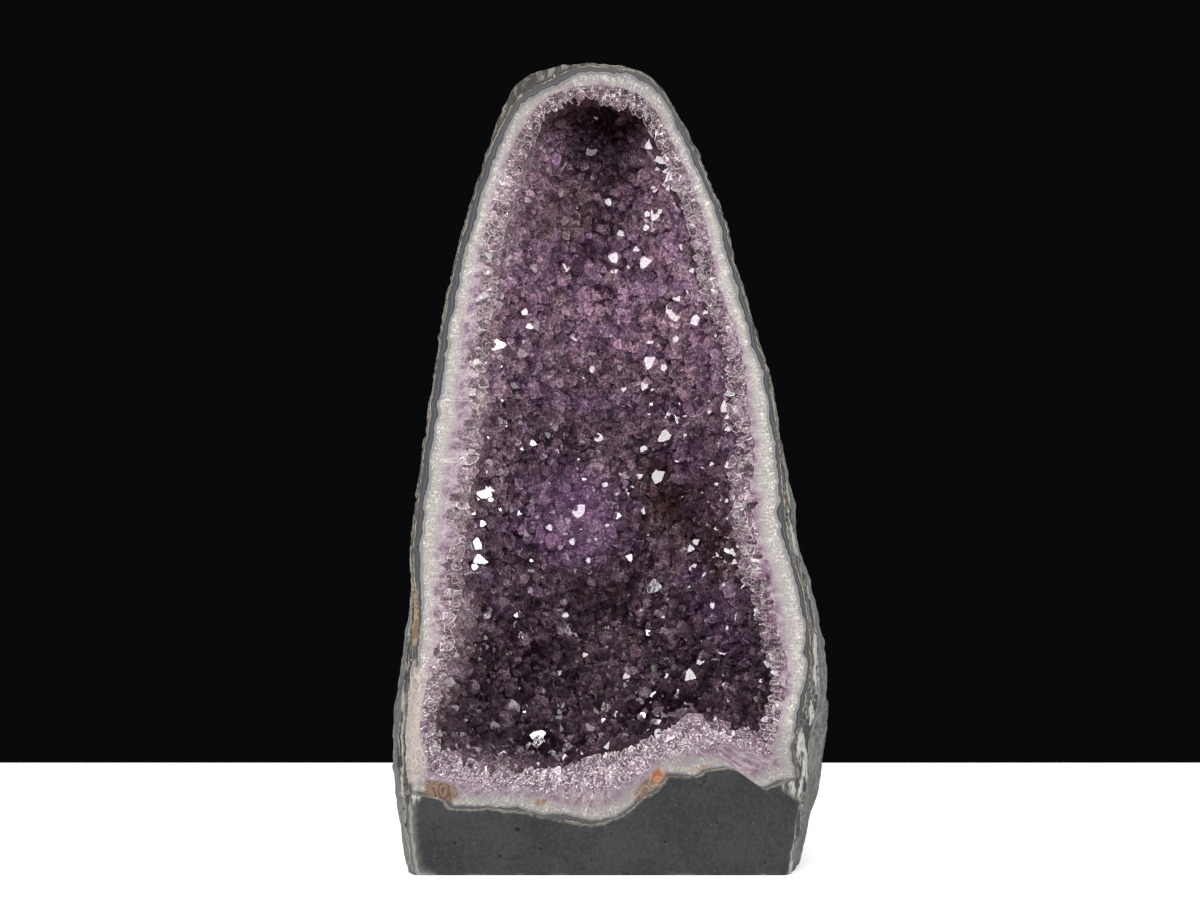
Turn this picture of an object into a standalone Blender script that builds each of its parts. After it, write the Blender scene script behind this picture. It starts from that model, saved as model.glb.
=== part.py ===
"""An amethyst cathedral geode, sawn flat in front and underneath so that it stands like an arch.

Three stones are bonded together: a hollow boulder of dark rock, the agate and white quartz that
line it, and the amethyst points that grew inwards from the quartz. The saw shows all three in the
flat front face, which looks along -Y. The origin is under the middle of the body, on the floor.
"""

import math

import bmesh
import bpy
import numpy as np
from mathutils.geometry import delaunay_2d_cdt

# Driving sizes, in metres. X runs to the right along the sawn face, Y goes back from it, Z is up.
BODY_DEPTH = 0.168
FACE_Y = -BODY_DEPTH / 2
FACE_X = -0.0007  # where the outlines' zero sits, so that the body is centred on the origin
BOND_GAP = 0.0003  # between one stone and the next
RIND = 0.0018  # rock left outside the agate along the sawn face
ROCK_BACK = 0.017  # thickness of the rock behind the hollow
LINING_BACK = 0.016  # thickness of agate and quartz behind the hollow
CRYSTAL_RIM = 0.009  # how much crystal the saw shows inside the white quartz
CRYSTAL_RIM_SHARE = 0.42  # and the most of the whole rim that it may be
CRUST_BASE = 0.006  # solid amethyst under the grooves between the crystals
CRYSTAL_PITCH = 0.0146
CRYSTAL_HEIGHT = 0.0090
CRYSTAL_LEAN = 0.32 * CRYSTAL_PITCH
CRYSTAL_SCATTER = 0.24  # how far a crystal strays from its place in its row, in pitches
SAWN_CRYSTALS = 120
ROCK_PITCH = 0.021
VUG_PITCH = 0.027
ROOT_PITCH = 0.0185

# The outlines below are points (x, z) of the sawn face, going round anticlockwise from the base.
# The boulder's own outline runs on under the floor, where the flat base is sawn off.
BOULDER_OUTLINE = [
    (0.000, -0.072), (0.060, -0.060), (0.090, -0.034), (0.0985, 0.000), (0.1030, 0.036),
    (0.1046, 0.056), (0.1040, 0.073), (0.1091, 0.093), (0.1129, 0.117), (0.1118, 0.139),
    (0.1068, 0.167), (0.1007, 0.187), (0.0974, 0.214), (0.0946, 0.242), (0.0891, 0.276),
    (0.0791, 0.311), (0.0697, 0.341), (0.0641, 0.364), (0.0519, 0.394), (0.0386, 0.421),
    (0.0253, 0.4405), (0.0086, 0.4475), (-0.0136, 0.4500), (-0.0330, 0.4465), (-0.0480, 0.4400),
    (-0.0563, 0.428), (-0.0672, 0.398), (-0.0802, 0.357), (-0.0899, 0.315), (-0.0963, 0.275),
    (-0.1024, 0.233), (-0.1079, 0.190), (-0.1079, 0.153), (-0.1096, 0.117), (-0.1129, 0.078),
    (-0.1113, 0.042), (-0.1068, 0.000), (-0.094, -0.034), (-0.060, -0.060),
]
# The lower edge of the agate, where it meets the dark rock in a wavy line.
LINING_LOWER_EDGE = [
    (-0.1105, 0.047), (-0.1013, 0.0455), (-0.0924, 0.0433), (-0.0869, 0.0377), (-0.0658, 0.0383),
    (-0.0441, 0.0350), (-0.0280, 0.0316), (-0.0103, 0.0286), (-0.0019, 0.0294), (0.0125, 0.0377),
    (0.0175, 0.0422), (0.0275, 0.0488), (0.0330, 0.0555), (0.0486, 0.0561), (0.0547, 0.0594),
    (0.0663, 0.0605), (0.0716, 0.0590), (0.0765, 0.0556), (0.0805, 0.0526), (0.0841, 0.0500),
    (0.0874, 0.0488), (0.0924, 0.0505), (0.0991, 0.0530), (0.1035, 0.0555),
]
# The mouth of the hollow, at the tips of the crystals that the saw cut through.
MOUTH_OUTLINE = [
    (-0.0053, 0.0699), (0.0169, 0.0766), (0.0347, 0.0855), (0.0502, 0.0855), (0.0700, 0.0783),
    (0.0790, 0.0765), (0.0848, 0.0810), (0.0872, 0.0930), (0.0908, 0.1070), (0.0888, 0.1238),
    (0.0835, 0.1393), (0.0758, 0.1726), (0.0691, 0.2031), (0.0713, 0.2364), (0.0674, 0.2642),
    (0.0658, 0.2947), (0.0530, 0.3252), (0.0480, 0.3530), (0.0402, 0.3807), (0.0291, 0.4046),
    (0.0169, 0.4235), (-0.0053, 0.4301), (-0.0297, 0.4224), (-0.0413, 0.4057), (-0.0513, 0.3863),
    (-0.0608, 0.3558), (-0.0674, 0.3225), (-0.0708, 0.2947), (-0.0724, 0.2642), (-0.0780, 0.2281),
    (-0.0824, 0.1920), (-0.0857, 0.1587), (-0.0891, 0.1254), (-0.0975, 0.0949), (-0.0985, 0.0800),
    (-0.0935, 0.0715), (-0.0840, 0.0675), (-0.0608, 0.0627), (-0.0275, 0.0622),
]
# Every surface is drawn out from a spine inside the hollow, with rounded ends like a racetrack.
# At the back they close on a shorter upright line, the seam.
SPINE_X, SPINE_LOW, SPINE_HIGH = -0.002, 0.118, 0.362
SEAM_LOW, SEAM_HIGH = 0.150, 0.295
TURN_RADIUS = 0.110

# How far the body swells beyond its sawn outline, as (turn, swell) round the face.
BODY_SWELL = [(0.00, 0.012), (0.055, 0.012), (0.07, 0.0135), (0.088, 0.019), (0.11, 0.0225),
              (0.15, 0.0105), (0.18, 0.0065), (0.22, 0.0075), (0.25, 0.002), (0.30, 0.000),
              (0.72, 0.000), (0.79, 0.002), (0.82, 0.004), (0.86, 0.008), (0.90, 0.0125),
              (0.94, 0.010), (1.00, 0.012)]
HOLLOW_SWELL_SHARE = 0.5  # how much of that the hollow takes part in
SQUARENESS = 2.4  # of the body from face to back: 2 is an ellipse, more is boxier
CORNER_SOFTENING = 0.035  # turns over which the outline's corners are evened out at the back
# Depth of the body behind the face against height. It thins towards the crown.
DEPTH_AT_HEIGHT = [(0.00, 0.160), (0.10, 0.168), (0.20, 0.166), (0.30, 0.150), (0.40, 0.122), (0.45, 0.105)]
# Lumps of crystal on the back wall: x, z, radius and height of each.
WALL_LUMPS = [(-0.022, 0.184, 0.040, 0.036), (0.050, 0.238, 0.030, 0.013), (0.058, 0.138, 0.030, 0.015),
              (-0.050, 0.118, 0.030, 0.010), (-0.012, 0.330, 0.038, 0.011), (0.020, 0.290, 0.030, 0.008),
              (-0.050, 0.262, 0.026, 0.009)]
# Broad dents and swellings of the boulder: wave vector (x, y, z), phase and size of each.
BOULDER_WAVES = [((38, 21, 27), 0.4, 0.0022), ((-25, 44, 39), 1.9, 0.0018), ((61, -30, 52), 3.1, 0.0013),
                 ((-80, 66, -71), 5.0, 0.0009), ((15, 92, 88), 2.2, 0.0008)]


def closed_curve(points, steps=10):
    """A smooth closed curve through the points: each span is a Catmull-Rom cubic."""
    p = np.array(points)
    before, after, beyond = np.roll(p, 1, 0), np.roll(p, -1, 0), np.roll(p, -2, 0)
    s = np.linspace(0, 1, steps, endpoint=False)[None, :, None]
    a, b, c, d = (q[:, None, :] for q in (before, p, after, beyond))
    curve = 0.5 * (2 * b + (c - a) * s + (2 * a - 5 * b + 4 * c - d) * s**2 + (3 * b - a - 3 * c + d) * s**3)
    return curve.reshape(-1, 2)


def track_length():
    """Length round the racetrack that turns are counted on."""
    return 2 * (SPINE_HIGH - SPINE_LOW) + 2 * math.pi * TURN_RADIUS


def turns_and_reaches(points):
    """Each point's place round the racetrack, from 0 to 1, and its distance from the spine."""
    x, z = points[:, 0] - SPINE_X, points[:, 1]
    foot = np.clip(z, SPINE_LOW, SPINE_HIGH)
    angle = np.arctan2(x, foot - z) % (2 * math.pi)
    climbed = np.where(angle < math.pi, foot - SPINE_LOW, 2 * SPINE_HIGH - SPINE_LOW - foot)
    return (TURN_RADIUS * angle + climbed) / track_length(), np.hypot(x, z - foot)


def reach_along(points):
    """A function that gives an outline's distance from the spine at any turn."""
    turn, reach = turns_and_reaches(points)
    order = np.argsort(turn)
    return lambda t: np.interp(t, turn[order], reach[order], period=1.0)


def rays(turn):
    """The foot on the spine and the outward direction of the ray at each turn."""
    quarter, rise = math.pi / 2 * TURN_RADIUS, SPINE_HIGH - SPINE_LOW
    knots = np.array([0, quarter, quarter + rise, 3 * quarter + rise, 3 * quarter + 2 * rise,
                      4 * quarter + 2 * rise]) / track_length()
    half_turns = np.array([0, 0.5, 0.5, 1.5, 1.5, 2.0]) * math.pi
    angle = np.interp(turn % 1.0, knots, half_turns)
    foot = np.interp(turn % 1.0, knots, [SPINE_LOW, SPINE_LOW, SPINE_HIGH, SPINE_HIGH, SPINE_LOW, SPINE_LOW])
    return foot, np.sin(angle), -np.cos(angle)


boulder_reach = reach_along(closed_curve(BOULDER_OUTLINE))
mouth_reach = reach_along(closed_curve(MOUTH_OUTLINE))
wavy_reach = reach_along(np.array(LINING_LOWER_EDGE))
WAVY_FROM, WAVY_TO = turns_and_reaches(np.array([LINING_LOWER_EDGE[0], LINING_LOWER_EDGE[-1]]))[0]


def lining_reach(turn):
    """The agate's outer edge: a thin rind inside the boulder's outline, and the wavy line below."""
    inside_rind = boulder_reach(turn) - RIND
    below = (turn % 1.0 > WAVY_FROM) | (turn % 1.0 < WAVY_TO)
    return np.where(below, np.minimum(wavy_reach(turn), inside_rind), inside_rind)


def root_reach(turn):
    """Where the amethyst begins inside the white quartz, on the sawn face."""
    rim = lining_reach(turn) - mouth_reach(turn)
    return mouth_reach(turn) + np.minimum(CRYSTAL_RIM, CRYSTAL_RIM_SHARE * rim)


def seam_foot(foot):
    """The point of the seam, as a height, that a ray's foot on the spine slides to."""
    return np.interp(foot, [SPINE_LOW, SPINE_HIGH], [SEAM_LOW, SEAM_HIGH])


def bowl(turn, lean, reach_at, thinner, swell):
    """A point of a bowl that starts on the face and closes on the seam behind it.

    Lean runs from 0 at the face to a quarter turn at the seam. Across and back follow a
    superellipse, the swell widens the bowl just behind the face, and the ray's foot slides
    from the spine to the seam as the bowl closes. The outline's reach is a mean over a stretch
    of turns that grows with lean, so that its corners soften behind the face. Thinner is taken
    off the body's depth.
    """
    stretch = CORNER_SOFTENING * np.sin(lean)
    reach = sum(reach_at(turn + share * stretch) for share in np.linspace(-1, 1, 9)) / 9
    across = np.abs(np.cos(lean)) ** (2 / SQUARENESS)
    back = np.abs(np.sin(lean)) ** (2 / SQUARENESS)
    foot, out_x, out_z = rays(turn)
    last_foot = seam_foot(foot)
    out = reach * across + swell * np.sin(math.pi * back**0.6)
    x = SPINE_X + out_x * out
    z = last_foot + (foot - last_foot) * (1 - (1 - across) ** 2) + out_z * out
    depth = np.interp(z, *np.array(DEPTH_AT_HEIGHT).T) - thinner
    return np.stack([x + FACE_X, FACE_Y + depth * back, z], axis=-1)


def swell_at(turn):
    """How far the boulder bulges beyond its sawn outline at each turn."""
    return np.interp(turn % 1.0, *np.array(BODY_SWELL).T)


def boulder_surface(turn, lean):
    """The weathered outside of the boulder, with its broad dents."""
    p = bowl(turn, lean, boulder_reach, 0.0, swell_at(turn))
    dent = sum(size * np.sin(p @ np.array(wave) + phase) for wave, phase, size in BOULDER_WAVES)
    foot, out_x, out_z = rays(turn)
    outward = np.stack(np.broadcast_arrays(out_x * np.cos(lean), np.sin(lean), out_z * np.cos(lean)), axis=-1)
    return p + outward * (dent * np.sin(lean) ** 2)[..., None]


def vug_surface(turn, lean, inset=0.0):
    """The wall of the hole in the rock, which the agate is bonded to."""
    return bowl(turn, lean, lambda t: lining_reach(t) - inset, ROCK_BACK + inset,
                HOLLOW_SWELL_SHARE * swell_at(turn))


def root_surface(turn, lean, inset=0.0):
    """The wall that the crystals grow from, with the lumps on the back wall.

    The inset moves it into the hollow, and twice as far on top of a lump.
    """
    p = bowl(turn, lean, lambda t: root_reach(t) - inset, ROCK_BACK + LINING_BACK + inset,
             HOLLOW_SWELL_SHARE * swell_at(turn))
    for x, z, radius, height in WALL_LUMPS:
        away = np.hypot(p[..., 0] - x - FACE_X, p[..., 2] - z) / radius
        p[..., 1] -= (height + inset) * np.exp(-(away**3)) * np.sin(lean) ** 2
    return p


def inward(surface, turn, lean, step=1e-4):
    """The surface's unit normal on its hollow side, from differences along turn and lean."""
    low, high = np.maximum(lean - step, 0), np.minimum(lean + step, math.pi / 2)
    along = surface(turn + step, lean) - surface(turn - step, lean)
    deeper = surface(turn, high) - surface(turn, low)
    normal = np.cross(along, deeper)
    normal[lean == math.pi / 2] = (0, -1, 0)
    return normal / np.linalg.norm(normal, axis=-1)[..., None]


class Sheet:
    """Rows of points on a bowl, about one pitch apart, joined into triangles.

    Row 0 is the bowl's edge on the face, each further row has as many points as its girth
    takes, and the last row is the seam. The triangles come from a flat copy of the points, with
    each row at its own distance from the seam, measured along the surface.
    """

    def __init__(self, surface, pitch, rim_count, scatter=0.0, seed=1):
        turns = np.linspace(0, 1, 361)
        leans = np.linspace(0, math.pi / 2, 160)
        grid = surface(turns[None, :], leans[:, None])
        deeper = np.linalg.norm(np.diff(grid, axis=0), axis=-1).mean(axis=1)
        walked = np.concatenate([[0], np.cumsum(deeper)])
        rows = round(walked[-1] / (pitch * math.sqrt(3) / 2))
        lean_of_row = np.interp(np.arange(rows + 1) * walked[-1] / rows, walked, leans)
        random = np.random.default_rng(seed)
        turn, row = [], []
        for j in range(rows):
            ring = surface(turns, lean_of_row[j])
            around = np.concatenate([[0], np.cumsum(np.linalg.norm(np.diff(ring, axis=0), axis=-1))])
            count = rim_count if j == 0 else max(6, round(around[-1] / pitch))
            stray = (scatter if j else 0.0) * random.uniform(-1, 1, (2, count))
            place = (np.arange(count) + 0.5 * (j % 2) + stray[0]) / count
            turn.append(np.interp(place % 1.0 * around[-1], around, turns))
            row.append(j + stray[1])
        quarter, rise = math.pi / 2 * TURN_RADIUS, SPINE_HIGH - SPINE_LOW
        seam_count = round((SEAM_HIGH - SEAM_LOW) / pitch) + 1
        turn.append(np.linspace(quarter, quarter + rise, seam_count) / track_length())
        row.append(np.full(seam_count, float(rows)))
        self.turn = np.concatenate(turn)
        self.lean = np.interp(np.concatenate(row), np.arange(rows + 1), lean_of_row)
        self.rim_count = rim_count
        foot, out_x, out_z = rays(self.turn)
        from_seam = walked[-1] - np.interp(self.lean, leans, walked)
        flat = np.stack([out_x * from_seam, seam_foot(foot) + out_z * from_seam], axis=1)
        edge = [(i, (i + 1) % rim_count) for i in range(rim_count)]
        spots = [tuple(map(float, p)) for p in flat]
        _, _, faces, origins, _, _ = delaunay_2d_cdt(spots, edge, [], 1, 1e-9)
        self.faces = [tuple(origins[v][0] for v in face) for face in faces]


def zipper(outer_turn, outer_first, inner_turn, inner_first):
    """Triangles that close the flat ring between two rows of points, going round by turn."""
    faces, i, j = [], 0, 0
    n, m = len(outer_turn), len(inner_turn)
    while i < n or j < m:
        outer_next = outer_turn[i + 1] if i + 1 < n else outer_turn[0] + 1 if i < n else math.inf
        inner_next = inner_turn[j + 1] if j + 1 < m else inner_turn[0] + 1 if j < m else math.inf
        a, b = outer_first + i % n, inner_first + j % m
        if outer_next <= inner_next:
            i += 1
            faces.append((a, outer_first + i % n, b))
        else:
            j += 1
            faces.append((a, inner_first + j % m, b))
    return faces


def face_outwards(work):
    """Turns all faces of a closed mesh the same way, and outwards."""
    bmesh.ops.recalc_face_normals(work, faces=work.faces)
    if work.calc_volume(signed=True) < 0:
        bmesh.ops.reverse_faces(work, faces=work.faces)


def add_stone(name, points, faces, colour, roughness, smooth_up_to=0.0):
    """One closed solid as a named object with its own plain material, smooth up to an angle."""
    mesh = bpy.data.meshes.new(name)
    mesh.from_pydata([tuple(map(float, p)) for p in points], [], faces)
    work = bmesh.new()
    work.from_mesh(mesh)
    face_outwards(work)
    work.to_mesh(mesh)
    work.free()
    mesh.shade_smooth()
    mesh.set_sharp_from_angle(angle=math.radians(smooth_up_to))
    material = bpy.data.materials.new(name)
    material.use_nodes = True
    shader = material.node_tree.nodes["Principled BSDF"]
    shader.inputs["Base Color"].default_value = (*colour, 1.0)
    shader.inputs["Roughness"].default_value = roughness
    shader.inputs["Metallic"].default_value = 0.0
    mesh.materials.append(material)
    stone = bpy.data.objects.new(name, mesh)
    bpy.context.scene.collection.objects.link(stone)
    return stone


def walled_bowl(outside, outer_sheet, inside, inner_sheet):
    """Points and faces of a bowl with a wall: two sheets, and the flat sawn ring between their edges."""
    first = len(outer_sheet.turn)
    points = np.concatenate([outside(outer_sheet.turn, outer_sheet.lean),
                             inside(inner_sheet.turn, inner_sheet.lean)])
    faces = list(outer_sheet.faces)
    faces += [tuple(first + v for v in reversed(face)) for face in inner_sheet.faces]
    faces += zipper(outer_sheet.turn[:outer_sheet.rim_count], 0,
                    inner_sheet.turn[:inner_sheet.rim_count], first)
    return points, faces


def saw_flat_base(stone):
    """Cuts off everything under the floor and closes the cut with one flat face."""
    work = bmesh.new()
    work.from_mesh(stone.data)
    everything = work.verts[:] + work.edges[:] + work.faces[:]
    cut = bmesh.ops.bisect_plane(work, geom=everything, dist=1e-6, plane_co=(0, 0, 0), plane_no=(0, 0, 1),
                                 clear_inner=True)
    edges = [item for item in cut["geom_cut"] if isinstance(item, bmesh.types.BMEdge)]
    bmesh.ops.contextual_create(work, geom=edges)
    face_outwards(work)
    work.to_mesh(stone.data)
    work.free()


def build_rock(vug_sheet):
    """The boulder: weathered outside, sawn front and base, and the hole that the geode filled."""
    outside = Sheet(boulder_surface, ROCK_PITCH, 90)
    points, faces = walled_bowl(boulder_surface, outside, vug_surface, vug_sheet)
    rock = add_stone("rock_matrix", points, faces, (0.075, 0.080, 0.083), 0.85, 35)
    saw_flat_base(rock)


def build_lining(vug_sheet, root_sheet):
    """The agate and white quartz between the rock and the crystals."""
    points, faces = walled_bowl(lambda t, a: vug_surface(t, a, BOND_GAP), vug_sheet,
                                root_surface, root_sheet)
    add_stone("agate_quartz_lining", points, faces, (0.62, 0.58, 0.60), 0.35, 35)


def sawn_teeth(turn, random):
    """The crystals that the saw cut, alternately long and short, as points on the face."""
    long = random.uniform(0.75, 1.2, len(turn))
    short = random.uniform(0.4, 0.6, len(turn))
    length = np.where(np.arange(len(turn)) % 2 == 0, long, short)
    reach = root_reach(turn) + (mouth_reach(turn) - root_reach(turn)) * length
    foot, out_x, out_z = rays(turn)
    return np.stack([SPINE_X + FACE_X + out_x * reach, np.full(len(turn), FACE_Y), foot + out_z * reach], 1)


def crystal_faces(triangles, spot_count):
    """Two faces for each side that two triangles share: each runs from a tip down to a groove.

    Point f of the grooves, in the middle of triangle f, is numbered after all the spots.
    """
    left_of = {}
    for f, (a, b, c) in enumerate(triangles):
        left_of.update({(a, b): f, (b, c): f, (c, a): f})
    faces = []
    for (a, b), left in left_of.items():
        right = left_of.get((b, a))
        if right is None:
            faces.append((a, b, spot_count + left))
        elif a < b:
            faces.append((a, spot_count + right, spot_count + left))
            faces.append((b, spot_count + left, spot_count + right))
    return faces


def build_crust(root_sheet):
    """The amethyst: a solid base with a pointed crystal on every spot of a scattered pattern.

    Each spot is raised to a crystal's tip and each triangle between spots is the bottom of a
    groove. Row 0 is the ring of crystals that the saw cut, and nothing stands out of the face.
    """
    def ground_surface(turn, lean):
        return root_surface(turn, lean, CRUST_BASE)

    spots = Sheet(ground_surface, CRYSTAL_PITCH, SAWN_CRYSTALS, CRYSTAL_SCATTER, seed=7)
    random = np.random.default_rng(11)
    ground = ground_surface(spots.turn, spots.lean)
    height = CRYSTAL_HEIGHT * random.uniform(0.55, 1.35, (len(ground), 1))
    lean = CRYSTAL_LEAN * random.uniform(-1, 1, (len(ground), 3))
    tips = ground + inward(ground_surface, spots.turn, spots.lean) * height + lean
    tips[:, 1] = np.maximum(tips[:, 1], FACE_Y + 2 * BOND_GAP)
    tips[:SAWN_CRYSTALS] = sawn_teeth(spots.turn[:SAWN_CRYSTALS], random)
    grooves = ground[np.array(spots.faces)].mean(axis=1)
    grooves[:, 1] = np.maximum(grooves[:, 1], FACE_Y + BOND_GAP)
    foot = root_surface(root_sheet.turn, root_sheet.lean, BOND_GAP)
    first = len(tips) + len(grooves)
    faces = crystal_faces(spots.faces, len(tips))
    faces += [tuple(first + v for v in reversed(face)) for face in root_sheet.faces]
    faces += zipper(root_sheet.turn[:root_sheet.rim_count], first, spots.turn[:SAWN_CRYSTALS], 0)
    add_stone("amethyst_crust", np.concatenate([tips, grooves, foot]), faces, (0.185, 0.085, 0.230), 0.18)


def main():
    for old in list(bpy.data.objects):
        bpy.data.objects.remove(old)
    vug_sheet = Sheet(vug_surface, VUG_PITCH, 128)
    root_sheet = Sheet(root_surface, ROOT_PITCH, 116)
    build_rock(vug_sheet)
    build_lining(vug_sheet, root_sheet)
    build_crust(root_sheet)


main()
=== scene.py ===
import functools
import itertools
import math
from types import SimpleNamespace

import bmesh
import bpy
import numpy as np
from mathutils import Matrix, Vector


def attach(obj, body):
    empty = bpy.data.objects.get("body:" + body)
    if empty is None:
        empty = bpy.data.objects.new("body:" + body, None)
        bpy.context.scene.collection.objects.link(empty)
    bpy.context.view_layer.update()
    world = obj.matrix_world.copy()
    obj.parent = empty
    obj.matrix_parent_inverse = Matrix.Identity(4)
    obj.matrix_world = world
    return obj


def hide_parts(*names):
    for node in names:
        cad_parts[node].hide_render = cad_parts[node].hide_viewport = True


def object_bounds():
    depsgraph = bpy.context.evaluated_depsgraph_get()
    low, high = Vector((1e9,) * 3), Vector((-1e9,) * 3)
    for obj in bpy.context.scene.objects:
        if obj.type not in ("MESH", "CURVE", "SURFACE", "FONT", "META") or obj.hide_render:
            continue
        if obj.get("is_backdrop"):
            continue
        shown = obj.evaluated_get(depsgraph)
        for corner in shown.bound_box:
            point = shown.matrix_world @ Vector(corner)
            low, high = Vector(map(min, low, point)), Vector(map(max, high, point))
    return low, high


# An amethyst cathedral geode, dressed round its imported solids. It is put together from the outside
# in: the boulder, its sawn front, the agate and white quartz, and the amethyst that grew inwards.
# Sizes are in metres. X runs to the right along the sawn face, Y goes back from it and Z is up.

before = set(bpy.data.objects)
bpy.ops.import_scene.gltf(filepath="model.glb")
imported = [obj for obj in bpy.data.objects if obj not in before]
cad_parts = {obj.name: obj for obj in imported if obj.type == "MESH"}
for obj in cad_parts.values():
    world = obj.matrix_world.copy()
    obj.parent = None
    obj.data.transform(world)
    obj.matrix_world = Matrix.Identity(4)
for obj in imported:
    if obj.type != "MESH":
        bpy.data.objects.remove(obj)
cad_low, cad_high = (list(corner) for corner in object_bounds())

# ---- Camera ----
# It stands straight in front, a little above the middle, as far off as a product photographer
# stands with a long lens, so the upright sides hardly converge.
FACE_Y = -0.084
CAMERA_AIM = Vector((-0.0052, FACE_Y, 0.238))
CAMERA_DISTANCE = 2.2
CAMERA_ELEVATION = math.radians(6.0)
CAMERA_LENS = 120.0  # millimetres, on a frame 36 mm wide


def add_object(name, data, place=(0, 0, 0), aim=None):
    """A new object in the scene. A camera or lamp is turned to look at its aim."""
    thing = bpy.data.objects.new(name, data)
    thing.location = place
    if aim:
        thing.rotation_euler = (Vector(aim) - Vector(place)).to_track_quat("-Z", "Y").to_euler()
    bpy.context.scene.collection.objects.link(thing)
    return thing


back_and_up = Vector((0, -math.cos(CAMERA_ELEVATION), math.sin(CAMERA_ELEVATION)))
camera = add_object("camera", bpy.data.cameras.new("camera"),
                    CAMERA_AIM + CAMERA_DISTANCE * back_and_up, CAMERA_AIM)
camera.data.lens = CAMERA_LENS
camera.data.sensor_width = 36
bpy.context.scene.camera = camera

# ---- Boulder ----
# The nodule of dark basalt that the geode grew in. Weathering left its outside rough, with dents
# and a pale speckle of minerals, and the saw cut its foot flat so that it stands on its own.
FACE_X = -0.0007
RIND = 0.0018  # rock left outside the agate along the sawn face
ROCK_BACK = 0.017  # thickness of the rock behind the hollow
BOULDER_OUTLINE = [
    (0.000, -0.072), (0.060, -0.060), (0.090, -0.034), (0.0985, 0.000), (0.1030, 0.036),
    (0.1046, 0.056), (0.1040, 0.073), (0.1091, 0.093), (0.1129, 0.117), (0.1118, 0.139),
    (0.1068, 0.167), (0.1007, 0.187), (0.0974, 0.214), (0.0946, 0.242), (0.0891, 0.276),
    (0.0791, 0.311), (0.0697, 0.341), (0.0641, 0.364), (0.0519, 0.394), (0.0386, 0.421),
    (0.0253, 0.4405), (0.0086, 0.4475), (-0.0136, 0.4500), (-0.0330, 0.4465), (-0.0480, 0.4400),
    (-0.0563, 0.428), (-0.0672, 0.398), (-0.0802, 0.357), (-0.0899, 0.315), (-0.0963, 0.275),
    (-0.1024, 0.233), (-0.1079, 0.190), (-0.1079, 0.153), (-0.1096, 0.117), (-0.1129, 0.078),
    (-0.1113, 0.042), (-0.1068, 0.000), (-0.094, -0.034), (-0.060, -0.060),
]
LINING_LOWER_EDGE = [
    (-0.1105, 0.047), (-0.1013, 0.0455), (-0.0924, 0.0433), (-0.0869, 0.0377), (-0.0658, 0.0383),
    (-0.0441, 0.0350), (-0.0280, 0.0316), (-0.0103, 0.0286), (-0.0019, 0.0294), (0.0125, 0.0377),
    (0.0175, 0.0422), (0.0275, 0.0488), (0.0330, 0.0555), (0.0486, 0.0561), (0.0547, 0.0594),
    (0.0663, 0.0605), (0.0716, 0.0590), (0.0765, 0.0556), (0.0805, 0.0526), (0.0841, 0.0500),
    (0.0874, 0.0488), (0.0924, 0.0505), (0.0991, 0.0530), (0.1035, 0.0555),
]
# Every surface is drawn out from an upright spine inside the hollow, with rounded ends like a
# racetrack, and closes at the back on a shorter upright line, the seam.
SPINE_X, SPINE_LOW, SPINE_HIGH = -0.002, 0.118, 0.362
SEAM_LOW, SEAM_HIGH = 0.150, 0.295
TURN_RADIUS = 0.110
TRACK_LENGTH = 2 * (SPINE_HIGH - SPINE_LOW) + 2 * math.pi * TURN_RADIUS
BODY_SWELL = [(0.00, 0.012), (0.055, 0.012), (0.07, 0.0135), (0.088, 0.019), (0.11, 0.0225),
              (0.15, 0.0105), (0.18, 0.0065), (0.22, 0.0075), (0.25, 0.002), (0.30, 0.000),
              (0.72, 0.000), (0.79, 0.002), (0.82, 0.004), (0.86, 0.008), (0.90, 0.0125),
              (0.94, 0.010), (1.00, 0.012)]
HOLLOW_SWELL_SHARE = 0.5
SQUARENESS = 2.4
CORNER_SOFTENING = 0.035
DEPTH_AT_HEIGHT = [(0.00, 0.160), (0.10, 0.168), (0.20, 0.166), (0.30, 0.150), (0.40, 0.122), (0.45, 0.105)]
BOULDER_WAVES = [((38, 21, 27), 0.4, 0.0022), ((-25, 44, 39), 1.9, 0.0018), ((61, -30, 52), 3.1, 0.0013),
                 ((-80, 66, -71), 5.0, 0.0009), ((15, 92, 88), 2.2, 0.0008)]
BOULDER_ROUGHNESS = [(0.016, 0.0016), (0.007, 0.0010), (0.0035, 0.0006)]  # grain size, height
INWARD_BIAS = 0.35  # share of the roughness that is taken inwards, so that it stays inside the solids
BOULDER_TURNS, BOULDER_LEANS = 760, 118
MERGE_DISTANCE = 2e-6
BOULDER_START = 0.006  # lean at which the weathered outside starts, just behind the sawn front


def closed_curve(points, steps=10):
    """A smooth closed curve through the points: each span is a Catmull-Rom cubic."""
    p = np.array(points)
    before, after, beyond = np.roll(p, 1, 0), np.roll(p, -1, 0), np.roll(p, -2, 0)
    s = np.linspace(0, 1, steps, endpoint=False)[None, :, None]
    a, b, c, d = (q[:, None, :] for q in (before, p, after, beyond))
    curve = 0.5 * (2 * b + (c - a) * s + (2 * a - 5 * b + 4 * c - d) * s**2 + (3 * b - a - 3 * c + d) * s**3)
    return curve.reshape(-1, 2)


def turns_and_reaches(points):
    """Each point's place round the racetrack, from 0 to 1, and its distance from the spine."""
    x, z = points[:, 0] - SPINE_X, points[:, 1]
    foot = np.clip(z, SPINE_LOW, SPINE_HIGH)
    angle = np.arctan2(x, foot - z) % (2 * math.pi)
    climbed = np.where(angle < math.pi, foot - SPINE_LOW, 2 * SPINE_HIGH - SPINE_LOW - foot)
    return (TURN_RADIUS * angle + climbed) / TRACK_LENGTH, np.hypot(x, z - foot)


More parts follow.
